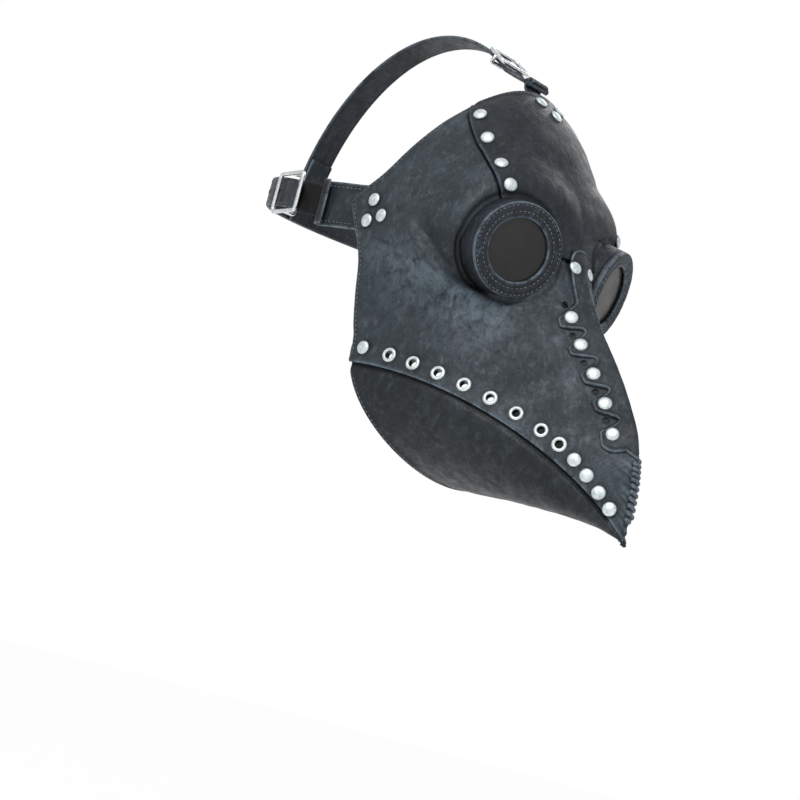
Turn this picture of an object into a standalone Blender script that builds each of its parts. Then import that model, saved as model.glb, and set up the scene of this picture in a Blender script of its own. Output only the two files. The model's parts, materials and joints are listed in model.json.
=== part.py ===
# Plague doctor mask: a beaked face shell of riveted panels, two goggles and an adjustable head harness.
# Origin: midpoint between the two goggle openings. +X is the wearer's left, -Y the beak, +Z up.
import bpy
import bmesh
import math
from mathutils import Matrix, Vector

for thing in list(bpy.data.objects):
    bpy.data.objects.remove(thing, do_unlink=True)

MM = 0.001

# Overall sizes of the face shell
mask_width = 152 * MM
mask_height = 281 * MM
mask_depth = 222 * MM

# Panels
panel_thickness = 2.2 * MM
layer_gap = 0.3 * MM
lap_slack = 0.7 * MM        # extra room between lapped panels
seam_lift = 1.2 * MM        # how far a lapping panel stands proud of the one it covers
lap_width = 16 * MM         # hidden part of a lapped panel
lift_run = 4 * MM           # length over which a lapped panel sinks below the lap

# Goggles
eye_spacing = 96.4 * MM
eye_toe_out = math.radians(22.2)
eye_tilt_down = math.radians(12)
opening_radius = 20 * MM
ring_radius = 30 * MM
barrel_flare = 1.2 * MM
barrel_depth = 22 * MM
mound_depth = 16 * MM       # the skin rises to this depth behind the opening round each goggle
mound_fade = 30 * MM
lip_depth = 2 * MM
lens_thickness = 2 * MM
lens_overlap = 2 * MM
retainer_depth = 3 * MM
retainer_width = 3 * MM
lens_clearance = 0.3 * MM

# Fasteners
rivet_radius = 4.4 * MM
rivet_height = 1.5 * MM
rivet_shank = 1.5 * MM
rivet_hole_clearance = 0.4 * MM
eyelet_neck = 3.1 * MM      # the holes that the eyelets are set in
lace_hole = 1.6 * MM

# Bridge strip and beak lacing
strip_narrow = 10.5 * MM     # half width between the goggles
strip_wide = 23.5 * MM       # half width down the beak
strip_straight = 8 * MM      # from here outwards the strip's lobes slant down the beak
strip_slant = 0.03 / MM      # sections per metre of width
slot_depth = 12.5 * MM       # cut between two lobes
slot_span = 0.26             # half the cut's width, in sections
strip_thickness = 2 * MM
lace_turns = 9
lace_radius = 1.5 * MM
lace_swing = 3.2 * MM

# Harness
strap_width = 20 * MM
strap_thickness = 2.2 * MM
webbing_width = 21 * MM
webbing_thickness = 1.8 * MM
tab_width = 30 * MM
fold_radius = 1.9 * MM      # rolled end of the webbing
fold_clearance = 0.4 * MM
fold_wall = 1.6 * MM
wire_radius = 1.4 * MM
slider_length = 30 * MM
crown_slider_length = 17 * MM
head_half_width = 80 * MM
head_centre = 145 * MM
head_back = 252 * MM
head_top = 155 * MM
strap_level = 15 * MM
strap_rise = 0.16           # climb of the head strap towards the back
crown_width = 22 * MM

collection = bpy.data.collections.new("plague_doctor_mask")
cutters = bpy.data.collections.new("cutters")
bpy.context.scene.collection.children.link(collection)
bpy.context.scene.collection.children.link(cutters)


def material(name, colour, roughness, metallic=0.0):
    mat = bpy.data.materials.new(name)
    mat.use_nodes = True
    shader = mat.node_tree.nodes["Principled BSDF"]
    shader.inputs["Base Color"].default_value = (*colour, 1)
    shader.inputs["Roughness"].default_value = roughness
    shader.inputs["Metallic"].default_value = metallic
    return mat


hide = material("distressed_hide", (0.042, 0.052, 0.062), 0.55)
hide_dark = material("edge_hide", (0.026, 0.032, 0.040), 0.5)
silver = material("dull_silver", (0.60, 0.64, 0.66), 0.38, 0.9)
smoked = material("smoked_lens", (0.043, 0.042, 0.043), 0.25)
webbing = material("black_webbing", (0.009, 0.009, 0.010), 0.6)
thread = material("waxed_thread", (0.030, 0.034, 0.040), 0.6)


# ---------------------------------------------------------------- shape of the face shell
# Cross-sections of the right half, in millimetres, from the top edge down to the jaw seam. Each
# leaves the centre line at (0, y, z) and ends on the rear rim at (-x, y, z). turn is how far it
# leaves backwards, in degrees; reach and drop shape it near the centre; pull shapes it at the rim.
REFERENCE = Vector((152, 222, 281))
SECTIONS = [
    # centre y, z     rim x, y, z         turn reach drop  pull x, y, z
    (56.7, 117.5,     47, 71.4, 93.0,       0,  22,  0,  (10, -8, 11)),
    (41.7, 104.5,     60, 80.8, 76.5,       0,  38,  0,  (5, -26, 12)),
    (25.0, 83.0,      68.5, 92.5, 58.0,     0,  48,  0,  (1, -46, 7)),
    (11.0, 58.0,      73.5, 106, 38.0,      0,  56,  0,  (-1, -62, 4)),
    (0.0, 36.0,       76, 124, 20.0,        0,  61,  0,  (-2, -76, 2)),
    (-7.0, 15.5,      76, 121.3, 8.2,       4,  60,  0,  (-2, -76, 0)),
    (-14.0, 0.0,      75.5, 112.5, -8,     12,  52,  0,  (-2, -68, 0)),
    (-27.0, -20.0,    75, 107, -22.5,      32,  40,  0,  (-1, -60, 0)),
    (-43.0, -41.0,    75, 103, -41,        46,  34,  0,  (0, -57, 0)),
    (-59.5, -60.0,    75, 98, -60,         52,  34,  2,  (0, -58, 0)),
    (-74.0, -80.0,    75, 95, -68,         56,  36,  8,  (0, -60, 0)),
    (-86.0, -100.0,   75, 94, -73,         58,  36, 14,  (0, -62, 0)),
    (-93.0, -126.0,   75, 93, -77,         56,  36, 24,  (1, -62, 0)),
    (-95.5, -162.5,   75, 91.5, -87,       56,  41, 46,  (2, -76, 1)),
]
KEEL = [(0, -97, -164), (0, -75, -151), (0, -10, -148), (0, 56, -145)]
stretch = Vector((mask_width, mask_depth, mask_height))


def placed(x, y, z):
    """A point of the reference drawing at the shell's real size."""
    return Vector((x * stretch.x / REFERENCE.x, y * stretch.y / REFERENCE.y, z * stretch.z / REFERENCE.z))


def controls(row):
    y, z, rim_x, rim_y, rim_z, turn, reach, drop, pull = row
    angle = math.radians(turn)
    start = Vector((0, y, z))
    end = Vector((-rim_x, rim_y, rim_z))
    leave = start + Vector((-reach * math.cos(angle), reach * math.sin(angle), drop))
    return [placed(*p) for p in (start, leave, end + Vector(pull), end)]


section_controls = [controls(row) for row in SECTIONS]
LAST = len(SECTIONS) - 1


def bezier(points, t):
    a, b, c, d = points
    s = 1 - t
    return a * s ** 3 + b * (3 * t * s * s) + c * (3 * t * t * s) + d * t ** 3


def eye_axis(side):
    return Vector((side * math.sin(eye_toe_out) * math.cos(eye_tilt_down),
                   -math.cos(eye_toe_out) * math.cos(eye_tilt_down), -math.sin(eye_tilt_down)))


def blend(a, b, t):
    t = max(0.0, min(1.0, t))
    return a + (b - a) * t * t * (3 - 2 * t)


def skin(u, v):
    """Outer surface of the upper shell: u counts sections from the top, v runs from centre to rim."""
    i = max(0, min(int(u), LAST - 1))
    t = u - i
    here, after = section_controls[i], section_controls[i + 1]
    before = section_controls[i - 1] if i else [2 * p - q for p, q in zip(here, after)]
    beyond = section_controls[i + 2] if i + 2 <= LAST else [2 * q - p for p, q in zip(here, after)]
    row = []
    for p0, p1, p2, p3 in zip(before, here, after, beyond):
        row.append((2 * p1 + (p2 - p0) * t + (2 * p0 - 5 * p1 + 4 * p2 - p3) * t ** 2
                    + (3 * p1 - p0 - 3 * p2 + p3) * t ** 3) * 0.5)
    point = bezier(row, v)
    # Round each goggle the skin swells forward to meet the barrel.
    away = point - Vector((-eye_spacing / 2, 0, 0))
    height = away.dot(eye_axis(-1))
    radius = (away - eye_axis(-1) * height).length
    swell = blend(1, 0, (radius - ring_radius - barrel_flare - 2 * MM) / mound_fade)
    return point + eye_axis(-1) * (swell * max(0.0, -mound_depth - height))


def jaw(w, v):
    """Outer surface of the jaw: w runs from the seam (0) to the keel (1), v from beak tip to rim."""
    seam = skin(LAST, v)
    keel = bezier([placed(*p) for p in KEEL], v)
    fall = seam.z - keel.z
    below = seam + Vector((-seam.x * 0.03, -fall * 0.1, -fall * 0.48))
    beside = keel + Vector((seam.x * 0.6, 0, 0))
    return bezier([seam, below, beside, keel], w)


def normal(surface, u, v):
    step = 0.002
    du = surface(u + step, v) - surface(u - step, v)
    dv = surface(u, v + step) - surface(u, v - step)
    return dv.cross(du).normalized()


def lifted(surface, u, v, height):
    return surface(u, v) + normal(surface, u, v) * height


def rim_fraction(v, height):
    """The section count u at which the skin has this height, for a given v."""
    low, high = 0.0, float(LAST)
    for _ in range(40):
        middle = (low + high) / 2
        if skin(middle, v).z > height:
            low = middle
        else:
            high = middle
    return low


# ---------------------------------------------------------------- building helpers
def shell(name, rows, thickness, mat, side=-1, edge=0.0, whole=False):
    """A curved panel of even thickness. rows hold (surface, u, v, height); edge is its gap to the centre
    plane, where the wall is mitred; whole mirrors it across that plane into one piece."""
    form = bmesh.new()
    layers = []
    for inset in (0.0, thickness):
        grid = []
        for row in rows:
            points = [lifted(surface, u, v, height - inset) for surface, u, v, height in row]
            if whole or row[0][2] <= 0:
                points[0].x = 0
            grid.append([form.verts.new((min(p.x, -edge) * -side, p.y, p.z)) for p in points])
        layers.append(grid)
    outer, inner = layers
    turned_in = side < 0

    def face(*corners):
        form.faces.new(corners if turned_in else corners[::-1])

    last_row, last = len(rows) - 1, len(rows[0]) - 1
    for i in range(last_row):
        for k in range(last):
            face(outer[i][k], outer[i][k + 1], outer[i + 1][k + 1], outer[i + 1][k])
            face(inner[i + 1][k], inner[i + 1][k + 1], inner[i][k + 1], inner[i][k])
        face(outer[i][last], inner[i][last], inner[i + 1][last], outer[i + 1][last])
        if not whole:
            face(outer[i + 1][0], inner[i + 1][0], inner[i][0], outer[i][0])
    for k in range(last):
        face(outer[0][k + 1], outer[0][k], inner[0][k], inner[0][k + 1])
        face(outer[last_row][k], outer[last_row][k + 1], inner[last_row][k + 1], inner[last_row][k])
    bmesh.ops.triangulate(form, faces=form.faces)
    mesh = bpy.data.meshes.new(name)
    form.to_mesh(mesh)
    form.free()
    thing = add_object(name, mesh, mat)
    if whole:
        step = thing.modifiers.new("other_half", "MIRROR")
        step.merge_threshold = 0.00005
    return thing


def add_object(name, mesh, mat=None, where=collection):
    thing = bpy.data.objects.new(name, mesh)
    where.objects.link(thing)
    if mat:
        mesh.materials.append(mat)
    if where is cutters:
        thing.hide_render = True
        thing.display_type = "WIRE"
    return thing


def boolean(thing, other, operation="DIFFERENCE"):
    step = thing.modifiers.new(operation.lower(), "BOOLEAN")
    step.operation = operation
    step.object = other


def posed(location, axis, across=Vector((0, 0, 1))):
    """A frame at location with Z along axis."""
    z = axis.normalized()
    x = across.cross(z).normalized()
    y = z.cross(x)
    return Matrix.Translation(location) @ Matrix((x, y, z)).transposed().to_4x4()


def pins(name, frames, radius, above, below, segments=8):
    """Plain cylinders, one per frame, as one cutting object."""
    form = bmesh.new()
    for frame in frames:
        centre = frame @ Matrix.Translation((0, 0, (above - below) / 2))
        bmesh.ops.create_cone(form, cap_ends=True, segments=segments, radius1=radius, radius2=radius,
                              depth=above + below, matrix=centre)
    mesh = bpy.data.meshes.new(name)
    form.to_mesh(mesh)
    form.free()
    return add_object(name, mesh, None, cutters)


def turned(name, profile, frame, mat, steps=10, closed=False, where=collection):
    """A turned piece: the profile's points are (radius, height), outer side first."""
    mesh = bpy.data.meshes.new(name)
    form = bmesh.new()
    points = [form.verts.new((radius, 0, height)) for radius, height in profile]
    for a, b in zip(points, points[1:]):
        form.edges.new((a, b))
    if closed:
        form.edges.new((points[-1], points[0]))
    form.to_mesh(mesh)
    form.free()
    thing = add_object(name, mesh, mat, where)
    thing.matrix_world = frame
    screw = thing.modifiers.new("turn", "SCREW")
    screw.steps = steps
    screw.render_steps = steps
    screw.use_merge_vertices = True
    screw.merge_threshold = 0.00001
    screw.use_smooth_shade = True
    return thing


def frame_on(surface, u, v, side, height=0.0):
    point = lifted(surface, u, v, height)
    axis = normal(surface, u, v)
    point.x *= -side
    axis.x *= -side
    return posed(point, axis)


def spaced(a, b, count):
    return [a + (b - a) * k / (count - 1) for k in range(count)]


SIDES = {"right": -1, "left": 1}
lap_depth = panel_thickness + layer_gap

# ---------------------------------------------------------------- where the seams and fasteners run
# Brow seam: (u, v) of the lapping edge from the rear rim down to behind the goggle.
BROW_SEAM = [(0.0, 0.90), (0.7, 0.80), (1.44, 0.69), (2.48, 0.55), (3.27, 0.475), (3.97, 0.41), (4.9, 0.30),
             (5.6, 0.09)]
brow_end = BROW_SEAM[-1][0]


def brow_edge(u):
    u = max(0.0, min(u, brow_end))
    for (u0, v0), (u1, v1) in zip(BROW_SEAM, BROW_SEAM[1:]):
        if u <= u1:
            return v0 + (v1 - v0) * (u - u0) / (u1 - u0)
    return BROW_SEAM[-1][1]


def across(u, distance):
    """The change of v that moves this far along the middle of a section."""
    return distance / ((skin(u, 0.51) - skin(u, 0.49)).length / 0.02)


def ridge_fraction(u, distance):
    """v at a distance from the centre line, near the ridge."""
    return distance / ((skin(u, 0.06) - skin(u, 0.0)).length / 0.06)


def up_fraction(v, distance):
    """The change of u that moves this far up from the jaw seam."""
    return distance / ((skin(LAST - 0.3, v) - skin(LAST, v)).length / 0.3)


brow_rivet_first, brow_rivet_last = 1.24, 3.5
brow_rivet_shares = [0.0, 0.39, 0.72, 1.0]
brow_rivet_inset = 7 * MM
ridge_start, ridge_end = 5.05, 11.5
ridge_rivet_us = [5.9, 7.55, 8.38, 9.33, 10.31, 11.26]
ridge_rivet_insets = [7 * MM] + [16 * MM] * 5
temple_rivets = [(4.11, 0.91), (4.95, 0.88), (5.2, 0.94)]
crown_rivets = [(0.62, 0.10), (0.62, -0.10), (1.06, 0.0)]
jaw_row_gap = 11.3 * MM     # from the seam edge up to the row of fasteners
jaw_tip_gap = 5.2 * MM      # the same at the beak's tip
jaw_rear_rivet = 0.944
jaw_eyelets = spaced(0.846, 0.373, 7) + [0.312]
jaw_front_rivets = [0.256, 0.205, 0.15, 0.095]


def row_height(v):
    """u of the fastener row beside the jaw seam; the row nears the seam towards the tip."""
    return LAST - up_fraction(v, blend(jaw_tip_gap, jaw_row_gap, (v - 0.08) / 0.25))


def frames_for(places, side, surface=skin, height=0.0):
    return [frame_on(surface, u, v, side, height) for u, v in places]


def above_goggle(u):
    """The same u, or one further up the brow seam where a rivet head clears the goggle."""
    clear = ring_radius + barrel_flare + rivet_radius + 0.6 * MM
    while u > brow_rivet_first:
        spot = skin(u, brow_edge(u) - across(u, brow_rivet_inset)) - Vector((-eye_spacing / 2, 0, 0))
        away = (spot - eye_axis(-1) * spot.dot(eye_axis(-1))).length
        if away > clear:
            break
        u -= 0.02
    return u


brow_rivet_us = [brow_rivet_first + (above_goggle(brow_rivet_last) - brow_rivet_first) * share
                 for share in brow_rivet_shares]
brow_places = [(u, brow_edge(u) - across(u, brow_rivet_inset)) for u in brow_rivet_us]
ridge_places = [(u, ridge_fraction(u, inset)) for u, inset in zip(ridge_rivet_us, ridge_rivet_insets)]
jaw_rivet_places = [(row_height(v), v) for v in [jaw_rear_rivet] + jaw_front_rivets]
eyelet_places = [(row_height(v), v) for v in jaw_eyelets]
slot_us = [(a + b) / 2 - 0.18 for a, b in zip(ridge_rivet_us[1:], ridge_rivet_us[2:])]
hole_inset = 18 * MM
hole_places = [(u + strip_slant * (hole_inset - strip_straight), ridge_fraction(u, hole_inset)) for u in slot_us]


# ---------------------------------------------------------------- goggles
def eye_frame(side):
    """Goggle frame: origin at the opening's centre, Z along the line of sight."""
    return posed(Vector((side * eye_spacing / 2, 0, 0)), eye_axis(side))


ring_back = -barrel_depth
seat_radius = opening_radius + lens_overlap + lens_clearance
for label, side in SIDES.items():
    frame = eye_frame(side)
    turned("goggle_ring_" + label, [
        (opening_radius, 0), (opening_radius + 1.5 * MM, 0.8 * MM), (ring_radius - 1.5 * MM, 0.8 * MM),
        (ring_radius, -0.8 * MM), (ring_radius + barrel_flare, ring_back),
        (ring_radius + barrel_flare - 5 * MM, ring_back), (seat_radius, -lip_depth - 9 * MM),
        (seat_radius, -lip_depth), (opening_radius, -lip_depth),
    ], frame, hide_dark, steps=24, closed=True)
    lens_front = -lip_depth - lens_clearance
    lens_back = lens_front - lens_thickness
    lens_radius = seat_radius - lens_clearance
    turned("lens_" + label, [(0, lens_front), (lens_radius, lens_front), (lens_radius, lens_back),
                             (0, lens_back)], frame, smoked, steps=24)
    turned("lens_retainer_" + label, [
        (lens_radius, lens_back - lens_clearance), (lens_radius, lens_back - lens_clearance - retainer_depth),
        (lens_radius - retainer_width, lens_back - lens_clearance - retainer_depth),
        (lens_radius - retainer_width, lens_back - lens_clearance)], frame, hide_dark, steps=24, closed=True)

socket_radius = ring_radius + barrel_flare + 0.5 * MM


def eye_cutter(name, sides):
    return pins(name, [eye_frame(side) for side in sides], socket_radius, 30 * MM, 45 * MM, segments=24)


# ---------------------------------------------------------------- panels
def cheek_lift(u):
    """The cheek rises a little towards the jaw seam, where it laps over the jaw panel."""
    return seam_lift * blend(0, 1, (u - LAST + 1.6) / 1.0)


def cheek_rows(columns=12):
    """The cheek runs under the brow panel and sinks there, and stops at the centre line below it."""
    rows = []
    for u in spaced(0.0, brow_end, 9) + spaced(brow_end + 0.45, LAST, 9):
        lapped = u <= brow_end
        seam = brow_edge(u) if lapped else 0.0
        run = across(u, lift_run)
        low = max(seam - across(u, lap_width), 0.0) if lapped else 0.0
        sunk_until = min(seam + 0.3 * run, 0.93) if lapped else ridge_fraction(u, 5 * MM)
        vs = [low, (low + sunk_until) / 2, sunk_until]
        vs += spaced(min(max(seam + 1.5 * run, sunk_until + 0.02), 0.95), 1.0, columns - 3)
        sunk = seam_lift - lap_depth - lap_slack
        rows.append([(skin, u, v, (sunk if lapped and v <= sunk_until else 0.0) + cheek_lift(u)) for v in vs])
    return rows


def brow_rows(columns=8):
    rows = []
    for u in spaced(0.0, brow_end - 0.1, 11):
        rows.append([(skin, u, v, seam_lift) for v in spaced(0.0, brow_edge(u), columns)])
    return rows


def jaw_rows():
    """Ribs from the keel out to the seam and on up behind the cheek, one after another from the tip."""
    rows = []
    under = -lap_depth - lap_slack
    for v in spaced(0.075, 1.0, 13):
        rib = [(jaw, w, v, blend(seam_lift + under, 0, w / 0.15)) for w in (1.0, 0.9, 0.76, 0.56, 0.38, 0.2, 0.07)]
        for depth in (0.5 * MM, lap_width * 0.5, lap_width):
            u = LAST - up_fraction(v, depth)
            rib.append((skin, u, v, cheek_lift(u) + under))
        rows.append(rib)
    return rows


centre_gap = 0.15 * MM
for label, side in SIDES.items():
    cheek = shell("cheek_panel_" + label, cheek_rows(), panel_thickness, hide, side, centre_gap)
    boolean(cheek, eye_cutter("cheek_eye_" + label, [side]))
    shank = rivet_shank + rivet_hole_clearance
    holes = frames_for(brow_places + ridge_places + jaw_rivet_places + temple_rivets, side)
    boolean(cheek, pins("cheek_rivet_holes_" + label, holes, shank, 8 * MM, 8 * MM, 6))
    boolean(cheek, pins("cheek_eyelet_holes_" + label, frames_for(eyelet_places, side),
                        eyelet_neck + rivet_hole_clearance, 8 * MM, 8 * MM, 10))
    boolean(cheek, pins("cheek_lace_holes_" + label, frames_for(hole_places, side), lace_hole, 8 * MM, 8 * MM, 6))

brow = shell("brow_panel", brow_rows(), panel_thickness, hide, whole=True)
boolean(brow, eye_cutter("brow_eyes", [-1, 1]))
brow_holes = [f for side in (-1, 1) for f in frames_for(brow_places, side)] + frames_for(crown_rivets, -1)
boolean(brow, pins("brow_rivet_holes", brow_holes, rivet_shank + rivet_hole_clearance, 8 * MM, 8 * MM, 6))

jaw_panel = shell("jaw_panel", jaw_rows(), panel_thickness, hide, whole=True)
jaw_rivet_frames = [f for side in (-1, 1) for f in frames_for(jaw_rivet_places, side)]
jaw_eyelet_frames = [f for side in (-1, 1) for f in frames_for(eyelet_places, side)]
boolean(jaw_panel, pins("jaw_rivet_holes", jaw_rivet_frames, rivet_shank + rivet_hole_clearance,
                        8 * MM, 9 * MM, 6))
boolean(jaw_panel, pins("jaw_eyelet_holes", jaw_eyelet_frames, eyelet_neck + rivet_hole_clearance,
                        8 * MM, 9 * MM, 10))


# ---------------------------------------------------------------- bridge strip over the ridge
def strip_edge(u):
    """Half width of the strip: narrow between the goggles, then lobes with a slot between each two."""
    width = blend(strip_narrow, strip_wide, (u - 6.85) / 0.4)
    for slot in slot_us:
        width -= slot_depth * blend(1, 0, abs(u - slot) / slot_span)
    cap = min(1.0, (u - ridge_start) / 0.5)
    return width * math.sqrt(max(0.05, 1 - (1 - cap) ** 2))


def strip_rows():
    rows = []
    lift = lap_depth + seam_lift * 0.5
    for u in spaced(ridge_start, ridge_end, 56):
        row = []
        rise = blend(seam_lift + lap_depth, lift, (u - brow_end) / 0.6)
        for share in (0.0, 0.2, 0.4, 0.6, 0.8, 1.0):
            distance = strip_edge(u) * share
            down = u + strip_slant * max(0.0, distance - strip_straight)
            row.append((skin, down, ridge_fraction(down, distance), rise))
        rows.append(row)
    return rows


strip = shell("bridge_strip", strip_rows(), strip_thickness, hide_dark, whole=True)
boolean(strip, pins("strip_holes", [f for side in (-1, 1) for f in frames_for(ridge_places, side)],
                    rivet_shank + rivet_hole_clearance, 9 * MM, 8 * MM, 6))


# ---------------------------------------------------------------- rivets and eyelets
def rivet(name, frame, seat, depth):
    """Low domed head seated above the skin, with its shank down through the panels."""
    r = rivet_radius
    turned(name, [(0, seat + rivet_height), (r * 0.72, seat + rivet_height * 0.7), (r, seat),
                  (rivet_shank, seat), (rivet_shank, -depth), (0, -depth)], frame, silver, steps=8)


flat_seat = 0.55 * MM
two_layers = 2 * panel_thickness + layer_gap + 0.8 * MM
for label, side in SIDES.items():
    for k, frame in enumerate(frames_for(brow_places, side), 1):
        rivet(f"brow_rivet_{label}_{k}", frame, flat_seat + seam_lift, two_layers - seam_lift)
    for k, frame in enumerate(frames_for(jaw_rivet_places, side), 1):
        rivet(f"jaw_rivet_{label}_{k}", frame, flat_seat + seam_lift, two_layers)
    for k, frame in enumerate(frames_for(temple_rivets, side), 1):
        rivet(f"temple_rivet_{label}_{k}", frame, flat_seat, two_layers)
for k, frame in enumerate(frames_for(crown_rivets, -1), 1):
    rivet(f"crown_rivet_{k}", frame, flat_seat + seam_lift, two_layers - seam_lift)


# ---------------------------------------------------------------- beak lacing
def lacing():
    """One thread laced to and fro across the front edge of the beak, clear of both cheeks."""
    curve = bpy.data.curves.new("beak_lacing", "CURVE")
    curve.dimensions = "3D"
    curve.bevel_depth = lace_radius
    curve.bevel_resolution = 1
    curve.use_fill_caps = True
    line = curve.splines.new("POLY")
    first, last = ridge_end + 0.35, LAST - 0.25
    count = lace_turns * 4
    line.points.add(count)
    for k in range(count + 1):
        u = first + (last - first) * k / count
        swing = math.sin(k * math.pi / 2)
        ahead = skin(u, 0) + Vector((0, -lace_radius - cheek_lift(u) * 1.5 - 2.2 * MM, 0))
        back = Vector((swing * lace_swing, abs(swing) * lace_swing * 0.55, 0))
        line.points[k].co = (*(ahead + back), 1)
    thing = bpy.data.objects.new("beak_lacing", curve)
    collection.objects.link(thing)
    curve.materials.append(thread)


lacing()


# ---------------------------------------------------------------- harness
def head_point(turn, out=0.0):
    """A point of the strap's path round the head; turn is 0 at the side and 90 degrees at the back."""
    depth = head_back - head_centre
    point = Vector((-head_half_width * math.cos(turn), head_centre + depth * math.sin(turn), 0))
    outward = Vector((-math.cos(turn) / head_half_width, math.sin(turn) / depth, 0)).normalized()
    point += outward * out
    point.z = strap_level + strap_rise * (point.y - head_centre)
    return point


def head_turn(run):
    """The turn reached after this length of strap from the side of the head."""
    turn, travelled, step = 0.0, 0.0, 0.005
    while travelled < run:
        travelled += (head_point(turn + step) - head_point(turn)).length
        turn += step
    return turn


def band(name, middle, normals, across_vectors, width, thickness, mat, side=-1):
    """A strap of rectangular section swept along a list of points."""
    form = bmesh.new()
    rings = []
    for point, out, wide in zip(middle, normals, across_vectors):
        corners = [point + wide * (width / 2 * a) + out * (thickness / 2 * b)
                   for a, b in ((1, 1), (1, -1), (-1, -1), (-1, 1))]
        rings.append([form.verts.new((p.x * -side, p.y, p.z)) for p in corners])
    for ring, after in zip(rings, rings[1:]):
        for k in range(4):
            form.faces.new((ring[k], ring[(k + 1) % 4], after[(k + 1) % 4], after[k]))
    form.faces.new(rings[0][::-1])
    form.faces.new(rings[-1])
    bmesh.ops.recalc_face_normals(form, faces=form.faces)
    mesh = bpy.data.meshes.new(name)
    form.to_mesh(mesh)
    form.free()
    return add_object(name, mesh, mat)


up = Vector((0, 0, 1))


def head_band(name, first_run, last_turn, count, width, thickness, out, mat, side):
    turns = spaced(head_turn(first_run), last_turn, count)
    middle = [head_point(t, out) for t in turns]
    normals = [(head_point(t, 1) - head_point(t, 0)) for t in turns]
    normals = [Vector((n.x, n.y, 0)).normalized() for n in normals]
    return band(name, middle, normals, [up] * count, width, thickness, mat, side)


fold_axis = head_point(0)
web_run = 34 * MM           # webbing from the fold to its end inside the slider
slider_run = 36 * MM        # strap length from the fold to the middle of the slider
strap_run = 26 * MM
web_out = 0.0
strap_out = (webbing_thickness + strap_thickness) / 2 + layer_gap
back_gap = 0.4 * MM


def from_curve(curve, name, frame, mat=None, where=cutters):
    """A curve made into a closed mesh object."""
    thing = bpy.data.objects.new(name + "_curve", curve)
    bpy.context.scene.collection.objects.link(thing)
    bpy.context.view_layer.update()
    graph = bpy.context.evaluated_depsgraph_get()
    mesh = bpy.data.meshes.new_from_object(thing.evaluated_get(graph))
    bpy.data.objects.remove(thing)
    form = bmesh.new()
    form.from_mesh(mesh)
    bmesh.ops.remove_doubles(form, verts=form.verts, dist=0.00001)
    bmesh.ops.recalc_face_normals(form, faces=form.faces)
    form.to_mesh(mesh)
    form.free()
    made = add_object(name, mesh, mat, where)
    made.matrix_world = frame
    return made


def fold_block(name, frame, width, side=-1, first_degrees=62):
    """Rolled end of a tab: a round groove open to the rear and outside. The frame's X points to the
    head, Y along the strap and Z along the fold."""
    inner = fold_radius + fold_clearance
    outer = inner + fold_wall
    curve = bpy.data.curves.new(name, "CURVE")
    curve.dimensions = "2D"
    curve.fill_mode = "BOTH"
    curve.extrude = width / 2
    line = curve.splines.new("POLY")
    start, stop = math.radians(185), math.radians(first_degrees)
    steps = 12
    sweep = 2 * math.pi - (start - stop)
    points = []
    for radius, order in ((outer, range(steps + 1)), (inner, range(steps, -1, -1))):
        for k in order:
            angle = start + sweep * k / steps
            points.append((radius * math.cos(angle) * -side, radius * math.sin(angle)))
    line.points.add(len(points) - 1)
    for spot, (x, y) in zip(line.points, points):
        spot.co = (x, y, 0, 1)
    line.use_cyclic_u = True
    return from_curve(curve, name, frame)


def temple_tab(label, side):
    """Leather tab riveted inside the temple, running back past the rim to the rolled fold."""
    under = -lap_depth - lap_slack
    heights = spaced(strap_level + tab_width / 2, strap_level - tab_width / 2, 5)
    end_x = fold_axis.x + fold_radius + fold_clearance + fold_wall / 2
    form_rows = []
    for z in heights:
        row = [lifted(skin, rim_fraction(v, z), v, under) for v in (0.80, 0.87, 0.94, 1.0)]
        last_point = row[-1]
        for share in (0.35, 0.7, 1.0):
            y = last_point.y + (fold_axis.y - last_point.y) * share
            x = blend(last_point.x, end_x, share)
            row.append(Vector((x, y, z)))
        form_rows.append(row)
    form = bmesh.new()
    layers = []
    for inset in (0.0, fold_wall):
        layers.append([[form.verts.new(((p.x + inset) * -side, p.y, p.z)) for p in row] for row in form_rows])
    outer, inner = layers
    last = len(form_rows[0]) - 1
    for i in range(len(form_rows) - 1):
        for k in range(last):
            form.faces.new((outer[i][k], outer[i][k + 1], outer[i + 1][k + 1], outer[i + 1][k]))
            form.faces.new((inner[i + 1][k], inner[i + 1][k + 1], inner[i][k + 1], inner[i][k]))
        form.faces.new((outer[i][last], inner[i][last], inner[i + 1][last], outer[i + 1][last]))
        form.faces.new((outer[i + 1][0], inner[i + 1][0], inner[i][0], outer[i][0]))
    for k in range(last):
        form.faces.new((outer[0][k + 1], outer[0][k], inner[0][k], inner[0][k + 1]))
        form.faces.new((outer[-1][k], outer[-1][k + 1], inner[-1][k + 1], inner[-1][k]))
    bmesh.ops.triangulate(form, faces=form.faces)
    bmesh.ops.recalc_face_normals(form, faces=form.faces)
    mesh = bpy.data.meshes.new("temple_tab_" + label)
    form.to_mesh(mesh)
    form.free()
    tab = add_object("temple_tab_" + label, mesh, hide_dark)
    place = Matrix.Translation((fold_axis.x * -side, fold_axis.y, strap_level))
    boolean(tab, fold_block("fold_block_" + label, place, tab_width, side), "UNION")
    boolean(tab, pins("tab_rivet_holes_" + label, frames_for(temple_rivets, side),
                      rivet_shank + rivet_hole_clearance, 8 * MM, 9 * MM, 6))


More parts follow.
